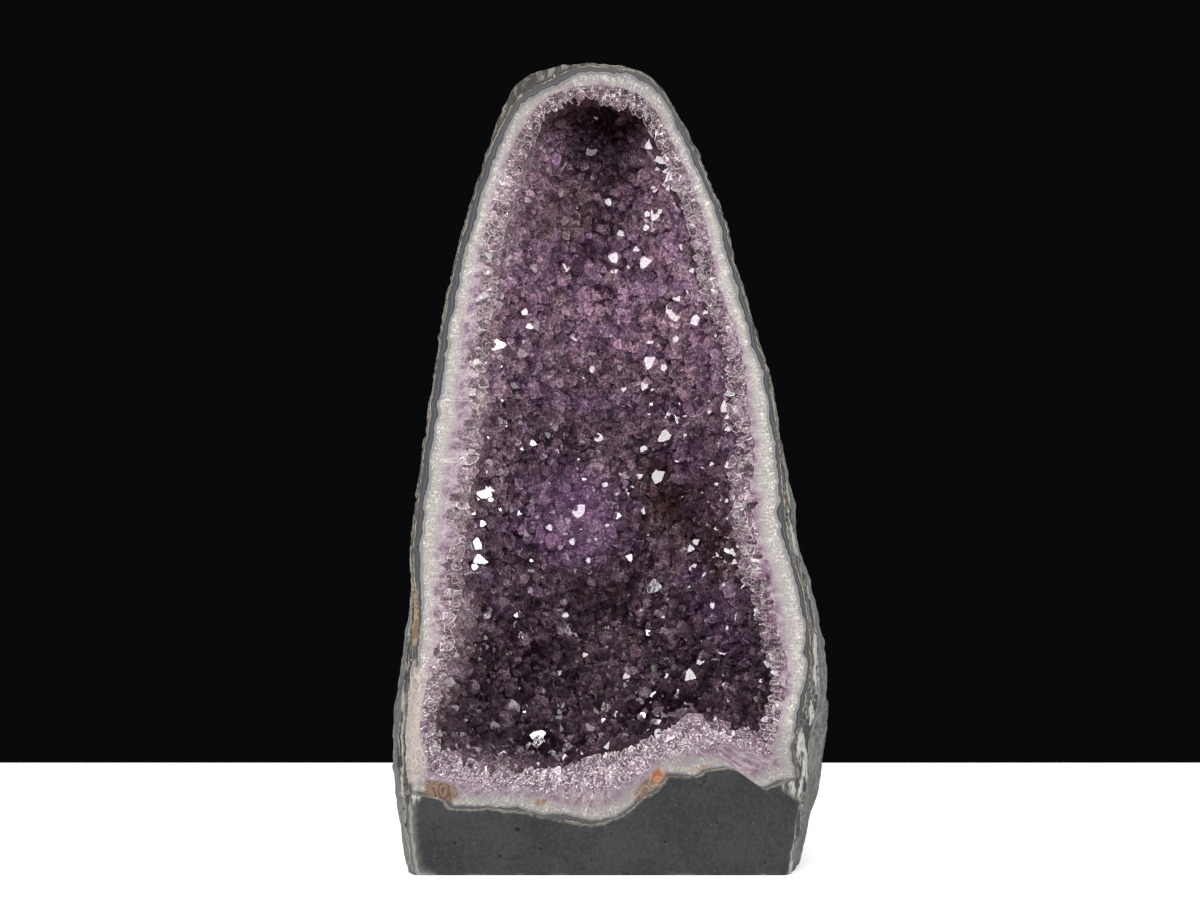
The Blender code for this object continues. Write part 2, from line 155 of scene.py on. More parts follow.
def reach_along(points):
    """A function that gives an outline's distance from the spine at any turn."""
    turn, reach = turns_and_reaches(points)
    order = np.argsort(turn)
    return lambda t: np.interp(t, turn[order], reach[order], period=1)


def rays(turn):
    """The foot on the spine and the outward direction of the ray at each turn."""
    quarter, rise = math.pi / 2 * TURN_RADIUS, SPINE_HIGH - SPINE_LOW
    knots = np.array([0, quarter, quarter + rise, 3 * quarter + rise, 3 * quarter + 2 * rise,
                      4 * quarter + 2 * rise]) / TRACK_LENGTH
    half_turns = np.array([0, 0.5, 0.5, 1.5, 1.5, 2]) * math.pi
    angle = np.interp(turn % 1, knots, half_turns)
    foot = np.interp(turn % 1, knots, [SPINE_LOW, SPINE_LOW, SPINE_HIGH, SPINE_HIGH, SPINE_LOW, SPINE_LOW])
    return foot, np.sin(angle), -np.cos(angle)


boulder_reach = reach_along(closed_curve(BOULDER_OUTLINE))
wavy_reach = reach_along(np.array(LINING_LOWER_EDGE))
WAVY_FROM, WAVY_TO = turns_and_reaches(np.array([LINING_LOWER_EDGE[0], LINING_LOWER_EDGE[-1]]))[0]


def lining_reach(turn):
    """The agate's outer edge: a thin rind inside the boulder's outline, and the wavy line below."""
    inside_rind = boulder_reach(turn) - RIND
    below = (turn % 1 > WAVY_FROM) | (turn % 1 < WAVY_TO)
    return np.where(below, np.minimum(wavy_reach(turn), inside_rind), inside_rind)


def bowl(turn, lean, reach_at, thinner, swell):
    """A point of a bowl that starts on the face and closes on the seam behind it.

    Lean runs from 0 at the face to a quarter turn at the seam. Across and back follow a
    superellipse, the swell widens the bowl just behind the face, and the ray's foot slides
    from the spine to the seam as the bowl closes. The outline's reach is a mean over a stretch
    of turns that grows with lean. Thinner is taken off the body's depth.
    """
    stretch = CORNER_SOFTENING * np.sin(lean)
    reach = sum(reach_at(turn + share * stretch) for share in np.linspace(-1, 1, 9)) / 9
    across = np.abs(np.cos(lean)) ** (2 / SQUARENESS)
    back = np.abs(np.sin(lean)) ** (2 / SQUARENESS)
    foot, out_x, out_z = rays(turn)
    last_foot = np.interp(foot, [SPINE_LOW, SPINE_HIGH], [SEAM_LOW, SEAM_HIGH])
    out = reach * across + swell * np.sin(math.pi * back**0.6)
    x = SPINE_X + out_x * out
    z = last_foot + (foot - last_foot) * (1 - (1 - across) ** 2) + out_z * out
    depth = np.interp(z, *np.array(DEPTH_AT_HEIGHT).T) - thinner
    return np.stack([x + FACE_X, FACE_Y + depth * back, z], axis=-1)


def swell_at(turn):
    """How far the boulder bulges beyond its sawn outline at each turn."""
    return np.interp(turn % 1, *np.array(BODY_SWELL).T)


def grain(points, size, seed=0):
    """Smooth random heights from -1 to 1, eased between a random value at each corner of cubes."""
    place = np.asarray(points) / size
    cell = np.floor(place).astype(np.int64)
    part = place - cell
    part = part * part * (3 - 2 * part)
    total = 0
    for corner in itertools.product((0, 1), repeat=3):
        number = (cell + np.array(corner)) @ np.array([73856093, 19349663, 83492791]) + seed * 7919
        number = ((number ^ (number >> 13)) * 1274126177) & 0x7FFFFFFF
        value = ((number ^ (number >> 15)) & 0xFFFF) / 0x8000 - 1
        total = total + value * np.prod(np.where(np.array(corner) == 1, part, 1 - part), axis=-1)
    return total


def add_grains(start, points, grains):
    """Grains of several sizes added up: each is a size, a height and a seed."""
    for size, height, seed in grains:
        start = start + height * grain(points, size, seed)
    return start


def boulder_surface(turn, lean):
    """The weathered outside: the bowl, moved outward by broad waves and three sizes of grain."""
    p = bowl(turn, lean, boulder_reach, 0, swell_at(turn))
    dent = sum(size * np.sin(p @ np.array(wave) + phase) for wave, phase, size in BOULDER_WAVES)
    foot, out_x, out_z = rays(turn)
    outward = np.stack(np.broadcast_arrays(out_x * np.cos(lean), np.sin(lean), out_z * np.cos(lean)), axis=-1)
    rough = sum(height * (grain(p, size, seed) - INWARD_BIAS)
                for seed, (size, height) in enumerate(BOULDER_ROUGHNESS))
    p = p + outward * (dent * np.sin(lean) ** 2 + rough * np.clip(lean / 0.03, 0.25, 1))[..., None]
    p[..., 2] = np.maximum(p[..., 2], 0)
    return np.clip(p, cad_low, cad_high)


def vug_surface(turn, lean, inset=0):
    """The wall of the hole in the rock, which the agate is bonded to."""
    return bowl(turn, lean, lambda t: lining_reach(t) - inset, ROCK_BACK + inset,
                HOLLOW_SWELL_SHARE * swell_at(turn))


def shell(name, points, ring=False, smooth=True, attributes=()):
    """A closed mesh from points[round, along]: it joins up round, and along as well if it is a ring.

    Otherwise its first and last columns are pinched together. Faces are turned so that the
    volume they enclose is positive. Attributes are pairs of a name and a vector per point.
    """
    count_round, count_along = points.shape[:2]
    here = np.arange(count_round * count_along).reshape(count_round, count_along)
    aside = np.roll(here, -1, 0)
    quads = np.stack([here, aside, np.roll(aside, -1, 1), np.roll(here, -1, 1)], axis=-1)
    quads = (quads if ring else quads[:, :-1]).reshape(-1, 4)
    flat = points.reshape(-1, 3)
    a, b, c, d = (flat[quads[:, k]] for k in range(4))
    if np.sum(a * np.cross(b, c)) + np.sum(a * np.cross(c, d)) < 0:
        quads = quads[:, ::-1]
    mesh = bpy.data.meshes.new(name)
    mesh.from_pydata(flat, [], quads.tolist())
    for label, values in attributes:
        layer = mesh.attributes.new(label, "FLOAT_VECTOR", "POINT")
        layer.data.foreach_set("vector", np.ascontiguousarray(values, dtype=np.float32).ravel())
    if not ring:
        work = bmesh.new()
        work.from_mesh(mesh)
        bmesh.ops.remove_doubles(work, verts=work.verts, dist=MERGE_DISTANCE)
        work.to_mesh(mesh)
        work.free()
    mesh.polygons.foreach_set("use_smooth", [smooth] * len(mesh.polygons))
    return add_object(name, mesh)


class Recipe:
    """Short hand for a node tree."""

    def __init__(self, tree):
        self.tree = tree

    def feed(self, node, inputs):
        """Inputs maps a socket's name or number to a value or an output. Colours are three numbers."""
        for key, value in inputs.items():
            socket = node.inputs[key]
            if isinstance(value, Output):
                self.tree.links.new(value.socket, socket)
            else:
                socket.default_value = (*value, 1) if socket.type == "RGBA" else value

    def add(self, kind, inputs=None, out=0, **settings):
        """A node with its settings. Gives the output that the next node takes."""
        node = self.tree.nodes.new("ShaderNode" + kind)
        for key, value in settings.items():
            setattr(node, key, value)
        self.feed(node, inputs or {})
        return Output(self, node.outputs[out]) if node.outputs else node

    def place(self):
        return self.add("TexCoord", out="Object")

    def attribute(self, name, out="Vector"):
        return self.add("Attribute", out=out, attribute_name=name)

    def shader(self, **inputs):
        """The material's own shader and its output node."""
        surface = self.add("BsdfPrincipled", {key.replace("_", " "): value for key, value in inputs.items()})
        self.add("OutputMaterial", {"Surface": surface})


class Output:
    """One output of a node. Arithmetic on it, and each method, adds a node and gives its output."""

    def __init__(self, recipe, socket):
        self.recipe, self.socket = recipe, socket

    def work(self, operation, *others):
        """The operation on this value and the others, by parts where one of them is a vector."""
        values, kind, out = (self, *others), "Math", 0
        if any(isinstance(v, tuple) or isinstance(v, Output) and v.socket.type != "VALUE" for v in values):
            kind, out = "VectorMath", 1 if operation in ("LENGTH", "DISTANCE") else 0
            values = [(v,) * 3 if isinstance(v, (int, float)) else v for v in values]
        return self.recipe.add(kind, dict(enumerate(values)), out, operation=operation)

    def __rsub__(self, other):
        return self.recipe.add("Math", {0: other, 1: self}, operation="SUBTRACT")

    def parts(self):
        """X, Y and Z of a vector."""
        split = self.recipe.add("SeparateXYZ", {0: self}).socket.node
        return SimpleNamespace(**{axis.lower(): Output(self.recipe, split.outputs[axis]) for axis in "XYZ"})

    def between(self, low, high, top=1, bottom=0):
        """An eased step from the bottom to the top as this value goes from low to high."""
        return self.recipe.add("MapRange", {0: self, 1: low, 2: high, 3: bottom, 4: top},
                               interpolation_type="SMOOTHSTEP")

    def mix(self, first, second):
        """This value is the share: the first colour at 0, the second at 1."""
        return self.recipe.add("Mix", {0: self, 6: first, 7: second}, 2, data_type="RGBA")

    def tinted(self, other):
        """This colour times another."""
        return self.recipe.add("Mix", {0: 1, 6: self, 7: other}, 2, data_type="RGBA", blend_type="MULTIPLY")

    def noise(self, scale, detail=3, roughness=0.55, out=0):
        inputs = {"Vector": self, "Scale": scale, "Detail": detail, "Roughness": roughness}
        return self.recipe.add("TexNoise", inputs, out)

    def cells(self, scale, feature="F1"):
        """How far it is to the nearest of scattered points, or to the edge between two of them."""
        return self.recipe.add("TexVoronoi", {"Vector": self, "Scale": scale}, feature=feature)

    def ramp(self, stops):
        """Colours by value: stops are pairs of a place from 0 to 1 and a colour."""
        out = self.recipe.add("ValToRGB", {0: self})
        strip = out.socket.node.color_ramp
        while len(strip.elements) < len(stops):
            strip.elements.new(1)
        for element, (place, colour) in zip(strip.elements, stops):
            element.position, element.color = place, (*colour, 1)
        return out

    def bump(self, distance, strength=1, normal=None):
        inputs = {"Height": self, "Distance": distance, "Strength": strength}
        return self.recipe.add("Bump", inputs if normal is None else {**inputs, "Normal": normal})


# Arithmetic that an output takes, where | stands for the larger of two.
for name, operation in [
    ("__add__", "ADD"), ("__sub__", "SUBTRACT"), ("__mul__", "MULTIPLY"), ("__truediv__", "DIVIDE"),
    ("__or__", "MAXIMUM"), ("scaled", "MULTIPLY_ADD"), ("sine", "SINE"), ("fract", "FRACT"),
    ("length", "LENGTH"), ("distance", "DISTANCE"),
]:
    setattr(Output, name, functools.partialmethod(Output.work, operation))


def layered(colour, layers):
    """Each layer is the share it takes and the colour it takes it with, from the bottom up."""
    for share, tint in layers:
        colour = share.mix(colour, tint)
    return colour


def new_material(name):
    """An empty material with nodes, and the recipe that fills it."""
    material = bpy.data.materials.new(name)
    material.use_nodes = True
    material.node_tree.nodes.clear()
    return material, Recipe(material.node_tree)


def new_group(name, inputs, outputs):
    """A shader node group with named sockets. Gives its recipe, its inputs by name and its output node."""
    tree = bpy.data.node_groups.new(name, "ShaderNodeTree")
    for direction, sockets in (("INPUT", inputs), ("OUTPUT", outputs)):
        for label, kind in sockets.items():
            tree.interface.new_socket(label, in_out=direction, socket_type="NodeSocket" + kind)
    recipe, given, result = Recipe(tree), tree.nodes.new("NodeGroupInput"), tree.nodes.new("NodeGroupOutput")
    return recipe, {label: Output(recipe, given.outputs[label]) for label in inputs}, result


def use_group(recipe, tree, inputs):
    """Places a group in a material with its own values. Gives the outputs by name."""
    node = recipe.tree.nodes.new("ShaderNodeGroup")
    node.node_tree = tree
    recipe.feed(node, inputs)
    return {out.name: Output(recipe, out) for out in node.outputs}


def dress(piece, material, node):
    """The piece takes its material, moves with the body and stands for the CAD node."""
    piece.data.materials.append(material)
    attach(piece, "root")
    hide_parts(node)


# Speckled rock: a fine mottle of two greys, pale mineral specks and dark pits, the pits painted near black as
# the shade inside them.
speckle, given, result = new_group("speckled rock",
                                   {"Vector": "Vector", "Dark": "Color", "Light": "Color", "Specks": "Color",
                                    "Speck Share": "Float", "Pit Share": "Float"},
                                   {"Color": "Color", "Height": "Float"})
where = given["Vector"]
mottle = where.noise(420, 4, 0.65)
greys = mottle.scaled(0.6, where.noise(38, 3, 0.6) * 0.4).between(0.36, 0.64)
lit = where.cells(620).between(0.33, 0.18) * where.noise(260, 2).between(0.62, 0.7)
# The pits are painted shade: near black where the holes would be shaded, and sunk a little in height.
pits = where.cells(210).between(0.26, 0.14) * where.noise(90, 1).between(0.6, 0.66) * given["Pit Share"]
colour = layered(greys.mix(given["Dark"], given["Light"]), [(lit * given["Speck Share"], given["Specks"]),
                                                            (pits, (0.008, 0.008, 0.009))])
speckle.feed(result, {"Color": colour, "Height": mottle - pits * 1.5})


def speckled(recipe, where, dark, light, specks, speck_share, pit_share):
    """The group above in a material, with its own colours and shares."""
    return use_group(recipe, speckle.tree, {"Vector": where, "Dark": dark, "Light": light, "Specks": specks,
                                            "Speck Share": speck_share, "Pit Share": pit_share})


weathered, rock = new_material("weathered rock")
where = rock.place()
spots = speckled(rock, where, (0.088, 0.089, 0.09), (0.27, 0.268, 0.262), (0.62, 0.6, 0.55), 0.9, 1)
streaks = (where * (1, 1, 0.3)).noise(210, 4, 0.7)
crust = where.noise(24, 4, 0.7)
damp = where.noise(13, 4, 0.65)
dusty = layered(spots["Color"], [
    (streaks.between(0.5, 0.6, 0.3), (0.36, 0.35, 0.325)),
    (streaks.between(0.47, 0.38, 0.34), (0.06, 0.062, 0.06)),
    (crust.between(0.55, 0.68, 0.45), (0.3, 0.28, 0.235)),
    (damp.between(0.5, 0.62, 0.45), (0.085, 0.092, 0.086)),
    (damp.between(0.46, 0.36, 0.3), (0.32, 0.31, 0.28)),
])
rock.shader(Base_Color=dusty, Roughness=0.92, Specular_IOR_Level=0.3,
            Normal=where.noise(150, 5, 0.7).bump(0.0026, 1, streaks.bump(0.0012, 0.9)))

turn = (np.arange(BOULDER_TURNS) / BOULDER_TURNS)[:, None]
outer = boulder_surface(turn, np.linspace(math.pi / 2, BOULDER_START, BOULDER_LEANS)[None, :])
inner = vug_surface(turn, np.linspace(0.02, math.pi / 2, 5)[None, :], -0.0005)
boulder = shell("boulder", np.concatenate([outer, inner], axis=1))
dress(boulder, weathered, "rock_matrix")

# ---- Sawn front of the rock ----
# The same basalt where the saw went through it: a flat dark foot below the wavy line, ground but
# not polished, and a thin chipped rind of pale altered rock round the agate.
RIM_TURNS = 2200  # points round the rim, evenly spaced, shared by the three stones
FOOT_BEVEL = 0.0008
THIN_RIND = 0.0011  # how much closer to the outside the agate really comes than in the solids
AGATE_WOBBLE = [(0.006, 0.0006, 11), (0.0022, 0.0003, 12)]  # grain size, height and seed
WIDEST_RIND, RIND_FADE = 0.014, 0.006  # narrower rock turns to rind, all of it once narrower by the fade
LEAST_RIND = 0.0006
RIND_RELIEF = 0.0011  # how far the rind's chips go back from the sawn face
FOOT_TURN, RIGHT_TURN, CROWN_TURN, LEFT_TURN = 0, 0.25, 0.5, 0.75
SHOULDER_TURN, SHOULDER_SPREAD, SHOULDER_WIDTH = 0.545, 0.026, 0.0065


def near_turn(turn, centre, spread):
    """A smooth hump, 1 at the centre, over turns, which wrap round at 1."""
    away = (turn - centre + 0.5) % 1 - 0.5
    return np.exp(-((away / spread) ** 2))


def on_face(turn, reach):
    """The point of the sawn face that lies that far out from the spine."""
    foot, out_x, out_z = rays(turn)
    x, z = SPINE_X + FACE_X + out_x * reach, foot + out_z * reach
    return np.stack([x, np.full_like(reach, FACE_Y), z], axis=-1)


def agate_edge(turn):
    """Where agate and rock meet on the face: the CAD line with wobbles, pulled in at the left shoulder."""
    reach = lining_reach(turn)
    p = on_face(turn, reach)
    wobble = add_grains(0, p, AGATE_WOBBLE)
    below = (turn % 1 > WAVY_FROM) | (turn % 1 < WAVY_TO)
    out = np.where(below & (reach < boulder_reach(turn) - RIND - 0.001), 0, THIN_RIND)
    return reach + out - SHOULDER_WIDTH * near_turn(turn, SHOULDER_TURN, SHOULDER_SPREAD) + wobble


def rock_edge(turn):
    """The outer edge of the sawn rock: the boulder's outline with chips, ending at the floor below."""
    foot, out_x, out_z = rays(turn)
    reach = boulder_reach(turn)
    p = on_face(turn, reach)
    chips = 0.0007 * (grain(p, 0.009, 21) - 0.3) + 0.0005 * grain(p, 0.0028, 22)
    to_floor = np.where(out_z < -0.05, foot / np.maximum(-out_z, 0.05), 9)
    return np.minimum(reach + chips, to_floor)


def lengths_walked(points):
    """The way from the first point to each, from 0. On a grid it is the mean of the ways side by side."""
    steps = np.linalg.norm(np.diff(points, axis=0), axis=-1).reshape(len(points) - 1, -1)
    return np.concatenate([[0], steps.mean(axis=1).cumsum()])


fine_turns = np.linspace(0, 1, 24001)
walked = lengths_walked(on_face(fine_turns, lining_reach(fine_turns)))
rim_turns = np.interp(np.arange(RIM_TURNS) / RIM_TURNS * walked[-1], walked, fine_turns)

turn = rim_turns
inner_edge, outer_edge = agate_edge(turn), rock_edge(turn)
outer_edge = np.maximum(outer_edge, inner_edge + LEAST_RIND)
shares = np.array([0, 0.02, 0.12, 0.3, 0.5, 0.7, 0.88, 1])
width = (outer_edge - inner_edge)[:, None]
bevel = np.minimum(FOOT_BEVEL, 0.3 * width)
across = inner_edge[:, None] + (width - bevel) * shares[None, :]
front = on_face(turn[:, None], across)
rindness = np.clip((WIDEST_RIND - width) / RIND_FADE, 0, 1)
relief = np.clip(0.35 + grain(front, 0.0045, 31) * 0.8 + grain(front, 0.0018, 32) * 0.5, 0, 1.2)
front[..., 1] += RIND_RELIEF * rindness * relief * np.clip(shares / 0.12, 0, 1)
leans = np.array([0.0006, 0.0025, 0.0055, 0.0085, 0.0125])
side = bowl(turn[:, None], leans[None, :], boulder_reach, 0, swell_at(turn[:, None]))
foot, out_x, out_z = rays(turn)
chip = (outer_edge - boulder_reach(turn)).clip(-0.003, 0.003)
side[..., 0] += (out_x * chip)[:, None] + 0.0005 * grain(side, 0.003, 41)
side[..., 2] = np.maximum(side[..., 2] + (out_z * chip)[:, None], 0)
back = on_face(turn[:, None], inner_edge[:, None])
back[..., 1] = side[:, -1:, 1]
profile = np.clip(np.concatenate([back, front, side], axis=1), cad_low, cad_high)
from_agate = np.linalg.norm(profile - front[:, :1], axis=-1)
from_edge = np.linalg.norm(profile - front[:, -1:], axis=-1)
on_front = np.clip(1.6 - (profile[..., 1] - FACE_Y) / 0.0012, 0, 1)
facts = np.stack([from_agate * 1000, from_edge * 1000, 1 - on_front * (1 - rindness)], axis=-1)
front_rock = shell("sawn_rock_front", profile, ring=True, smooth=False, attributes=[("edges_mm", facts)])

# Larger pits in the foot's front, painted near black as the shade inside them: centre (x, z) and radius, and
# how far noise moves their edges.
PIT_RAGGEDNESS = 0.0016
FOOT_PITS = [(-0.0511, 0.0261, 0.0016), (-0.0611, 0.0111, 0.0012), (-0.0383, 0.0150, 0.0011),
             (0.0310, 0.0190, 0.0008), (0.0600, 0.0300, 0.0007), (-0.0100, 0.0090, 0.0008)]
ground_rock, rock = new_material("sawn rock")
where = rock.place()
place = where.parts()
edges = rock.attribute("edges_mm").parts()
sawn = speckled(rock, where, (0.022, 0.0238, 0.0248), (0.038, 0.0398, 0.0416), (0.14, 0.145, 0.14), 0.5, 0.7)
rind = speckled(rock, where, (0.035, 0.034, 0.03), (0.17, 0.163, 0.14), (0.6, 0.57, 0.5), 0.9, 1)
ragged = where.noise(190, 4, 0.7)
low_left = place.x.between(-0.095, -0.104) * place.z.between(0.06, 0.03)
chips = where.noise(75, 3, 0.7).between(0.52, 0.6) * place.z.between(0.0012, 0.0004)
worn = ragged.scaled(-5, edges.y).between(-0.6, -2.4) * (chips | low_left * 0.6)
smear = low_left * ragged.scaled(9, edges.y).between(11, 5)
colour = layered(sawn["Color"], [(smear * 0.5, (0.17, 0.16, 0.14)), (worn * 0.7, (0.34, 0.34, 0.32))])
ragged_place = where.noise(500, 3, 0.6, out=1).scaled(PIT_RAGGEDNESS, where)
# Each pit is painted shade: near black, with no hole in the mesh.
for x, z, radius in FOOT_PITS:
    middle = (x + PIT_RAGGEDNESS / 2, FACE_Y + PIT_RAGGEDNESS / 2, z + PIT_RAGGEDNESS / 2)
    inside = ragged_place.distance(middle).between(radius, radius * 0.6, 0.9)
    colour = inside.mix(colour, (0.006, 0.006, 0.006))
tan_line = ragged.scaled(-2.4, edges.x).between(0.35, -0.25)
upright = (where * (1, 1, 0.22)).noise(260, 4, 0.7)
rough_skin = upright.between(0.45, 0.56).mix((0.042, 0.044, 0.046), (0.4, 0.388, 0.36))
shoulder = place.z.between(0.37, 0.4) * place.x.between(-0.012, -0.026)
colour = layered(colour, [
    (edges.z.between(0.2, 0.7) | tan_line * 0.85, rind["Color"]),
    (edges.x.between(1, 2.4) * edges.z * 0.9, rough_skin),
    (shoulder * 0.65, (0.045, 0.04, 0.032)),
])
rock.shader(Base_Color=colour, Roughness=0.85, Specular_IOR_Level=0.25,
            Normal=(ragged * edges.z.between(0.2, 0.7)).bump(0.002, 0.8, sawn["Height"].bump(0.00025, 0.7)))
dress(front_rock, ground_rock, "rock_matrix")

# ---- Agate and white quartz ----
# The first layers that lined the hole: a rim of blue-grey agate in fine bands, then a comb of
# white quartz needles that grew inwards from it. The saw cut and polished both with the face.
LINING_BACK = 0.016
CRYSTAL_RIM, CRYSTAL_RIM_SHARE = 0.009, 0.42
MOUTH_OUTLINE = [
    (-0.0053, 0.0699), (0.0169, 0.0766), (0.0347, 0.0855), (0.0502, 0.0855), (0.0700, 0.0783),
    (0.0790, 0.0765), (0.0848, 0.0810), (0.0872, 0.0930), (0.0908, 0.1070), (0.0888, 0.1238),
    (0.0835, 0.1393), (0.0758, 0.1726), (0.0691, 0.2031), (0.0713, 0.2364), (0.0674, 0.2642),
    (0.0658, 0.2947), (0.0530, 0.3252), (0.0480, 0.3530), (0.0402, 0.3807), (0.0291, 0.4046),
    (0.0169, 0.4235), (-0.0053, 0.4301), (-0.0297, 0.4224), (-0.0413, 0.4057), (-0.0513, 0.3863),
    (-0.0608, 0.3558), (-0.0674, 0.3225), (-0.0708, 0.2947), (-0.0724, 0.2642), (-0.0780, 0.2281),
    (-0.0824, 0.1920), (-0.0857, 0.1587), (-0.0891, 0.1254), (-0.0975, 0.0949), (-0.0985, 0.0800),
    (-0.0935, 0.0715), (-0.0840, 0.0675), (-0.0608, 0.0627), (-0.0275, 0.0622),
]
WALL_LUMPS = [(-0.022, 0.184, 0.040, 0.036), (0.050, 0.238, 0.030, 0.013), (0.058, 0.138, 0.030, 0.015),
              (-0.050, 0.118, 0.030, 0.010), (-0.012, 0.330, 0.038, 0.011), (0.020, 0.290, 0.030, 0.008),
              (-0.050, 0.262, 0.026, 0.009)]

QUARTZ_WIDTH = [(0.00, 0.0125), (0.09, 0.0130), (0.14, 0.0165), (0.35, 0.0165), (0.44, 0.0135), (0.50, 0.0110),
                (0.56, 0.0135), (0.65, 0.0165), (0.84, 0.0165), (0.90, 0.0130), (1.00, 0.0125)]
QUARTZ_WOBBLE = [(0.010, 0.0016, 54), (0.004, 0.0008, 55)]  # grain size, height and seed
LEFT_BORDER, LEFT_SPREAD = 0.0042, 0.11
STEP_DEPTH = 0.0042  # how far behind the face the amethyst reaches out over the quartz

mouth_reach = reach_along(closed_curve(MOUTH_OUTLINE))


def root_reach(turn):
    """Where the amethyst begins inside the white quartz, on the sawn face."""
    rim = lining_reach(turn) - mouth_reach(turn)
    return mouth_reach(turn) + np.minimum(CRYSTAL_RIM, CRYSTAL_RIM_SHARE * rim)


def root_surface(turn, lean, inset=0):
    """The wall that the crystals grow from, with the lumps on the back wall."""
    p = bowl(turn, lean, lambda t: root_reach(t) - inset, ROCK_BACK + LINING_BACK + inset,
             HOLLOW_SWELL_SHARE * swell_at(turn))
    for x, z, radius, height in WALL_LUMPS:
        away = np.hypot(p[..., 0] - x - FACE_X, p[..., 2] - z) / radius
        p[..., 1] -= (height + inset) * np.exp(-(away**3)) * np.sin(lean) ** 2
    return p


def amethyst_edge(turn):
    """Where lilac takes over from white on the face, a few uneven millimetres outside the crystals' foot."""
    p = on_face(turn, root_reach(turn))
    width = add_grains(np.interp(turn % 1, *np.array(QUARTZ_WIDTH).T), p, QUARTZ_WOBBLE)
    return np.maximum(root_reach(turn) + 0.0004, agate_edge(turn) - width)


def left_border(turn):
    """How much farther the sawn amethyst reaches inwards on the left, where the saw ran along it."""
    patches = 1 + 0.6 * grain(on_face(turn, root_reach(turn)), 0.009, 57)
    return LEFT_BORDER * near_turn(turn, LEFT_TURN, LEFT_SPREAD) * patches


def face_facts(turn, points, outer_edge, inner_edge):
    """Each point's millimetres round the rim, from the rock and from the amethyst's foot."""
    edge = on_face(turn, outer_edge)
    way = np.linalg.norm(np.roll(edge, -1, 0) - edge, axis=-1).cumsum() * 1000
    foot, out_x, out_z = rays(turn)
    reach = np.hypot(points[..., 0] - SPINE_X - FACE_X, points[..., 2] - foot[:, None])
    from_rock = (outer_edge[:, None] - reach) * 1000
    from_foot = (reach - inner_edge[:, None]) * 1000
    return np.stack([np.broadcast_to(way[:, None], reach.shape), from_rock, from_foot], axis=-1)


turn = rim_turns
outer_edge, inner_edge = agate_edge(turn) - 0.0001, amethyst_edge(turn)
across = outer_edge[:, None] + (inner_edge - outer_edge)[:, None] * np.linspace(0, 1, 9)[None, :]
face = on_face(turn[:, None], across)
step = on_face(turn[:, None], np.stack([inner_edge, root_reach(turn)], axis=1))
step[..., 1] += STEP_DEPTH
leans = np.linspace(0.025, math.pi / 2, 7)[None, :]
outer = vug_surface(turn[:, None], leans[:, ::-1], 0.0003)
inner = root_surface(turn[:, None], leans)
points = np.concatenate([outer, face, step, inner], axis=1)
facts = face_facts(turn, points, outer_edge, inner_edge)
lining = shell("agate_and_quartz", points, smooth=False, attributes=[("rim_mm", facts)])

# Sawn quartz: what the polished rim shows, from the rock inwards. The place across the rim picks
# the agate's bands, stretched noise draws the needles, and blotches of lilac lie at their tips.
quartz, given, result = new_group("sawn quartz", {"Rim": "Vector", "Vector": "Vector", "Purple": "Float",
                                                  "Lip": "Float"}, {"Color": "Color", "Height": "Float"})
where, lip = given["Vector"], given["Lip"]
rim, place = given["Rim"].parts(), where.parts()
ripple = where.noise(420, 2, 0.6)
patchy = where.noise(130, 3, 0.6)
swayed = rim.y + where.noise(70, 2, 0.5).scaled(6.5, -3) + ripple.scaled(1.6, -0.8)
swayed = swayed * lip.between(0, 1, 1.7, 1) - place.x.between(0.02, -0.06, 1.1)
swayed = swayed | rim.y.scaled(0.75, -0.3)
bands = (swayed / 20).ramp([(0, (0.06, 0.057, 0.05)), (0.05, (0.04, 0.04, 0.038)),
                            (0.09, (0.075, 0.08, 0.098)), (0.12, (0.034, 0.035, 0.037)),
                            (0.15, (0.05, 0.054, 0.063)), (0.175, (0.27, 0.255, 0.24)),
                            (0.2, (0.16, 0.157, 0.158)), (0.26, (0.26, 0.245, 0.23)),
                            (0.36, (0.31, 0.287, 0.264)), (0.55, (0.28, 0.258, 0.248)),
                            (0.8, (0.235, 0.208, 0.212)), (1, (0.2, 0.16, 0.183))])
fine = quartz.add("TexWave", {"Vector": quartz.add("CombineXYZ", {0: swayed}), "Scale": 0.62,
                              "Distortion": 0.6, "Detail": 1}, 1)
bands = (rim.y.between(6, 3) * 0.12).mix(bands, fine.mix((0.03, 0.033, 0.036), (0.2, 0.205, 0.22)))
comb = swayed.between(3.8, 5.5)
bent = where.noise(110, 2, 0.5, out=1).scaled(2.5, given["Rim"])
long_way = (bent * (0.8, 0.1, 0)).noise(1, 3, 0.6)
short_way = (bent * (1, 0.75, 0)).noise(1, 3, 0.7)
needles = short_way.scaled(0.6, long_way * 0.4)
uneven_comb = comb * patchy.between(0.38, 0.6, 1, 0.35)
faded = patchy.scaled(8, swayed).between(19, 11, 1, 0.35) | lip
grains = where.noise(1100, 2, 0.6)
outer_half = swayed.between(13, 7, 1, 0.25) * uneven_comb
zone = patchy.scaled(6, rim.z).between(7, 2) * given["Purple"]
uneven = where.noise(240, 3, 0.6, out=1).scaled(3.4, given["Rim"])
hearts = (uneven * (0.21, 0.17, 0)).cells(1)
seams = (uneven * (0.34, 0.22, 0)).cells(1, "DISTANCE_TO_EDGE")
blot = (given["Rim"] * (0.9, 0.7, 0)).noise(1, 3).scaled(0.9, hearts)
outer_line = (rim.y + ripple.scaled(0.8, -0.4)).between(0.45, 0.1) * where.noise(150, 4, 0.7).between(0.4, 0.56)
cracks = (given["Rim"] * (0.045, 0.004, 0)).cells(1, "DISTANCE_TO_EDGE")
cracked = ripple.scaled(0.016, cracks).between(0.02, 0.014) * comb * patchy.between(0.46, 0.62)
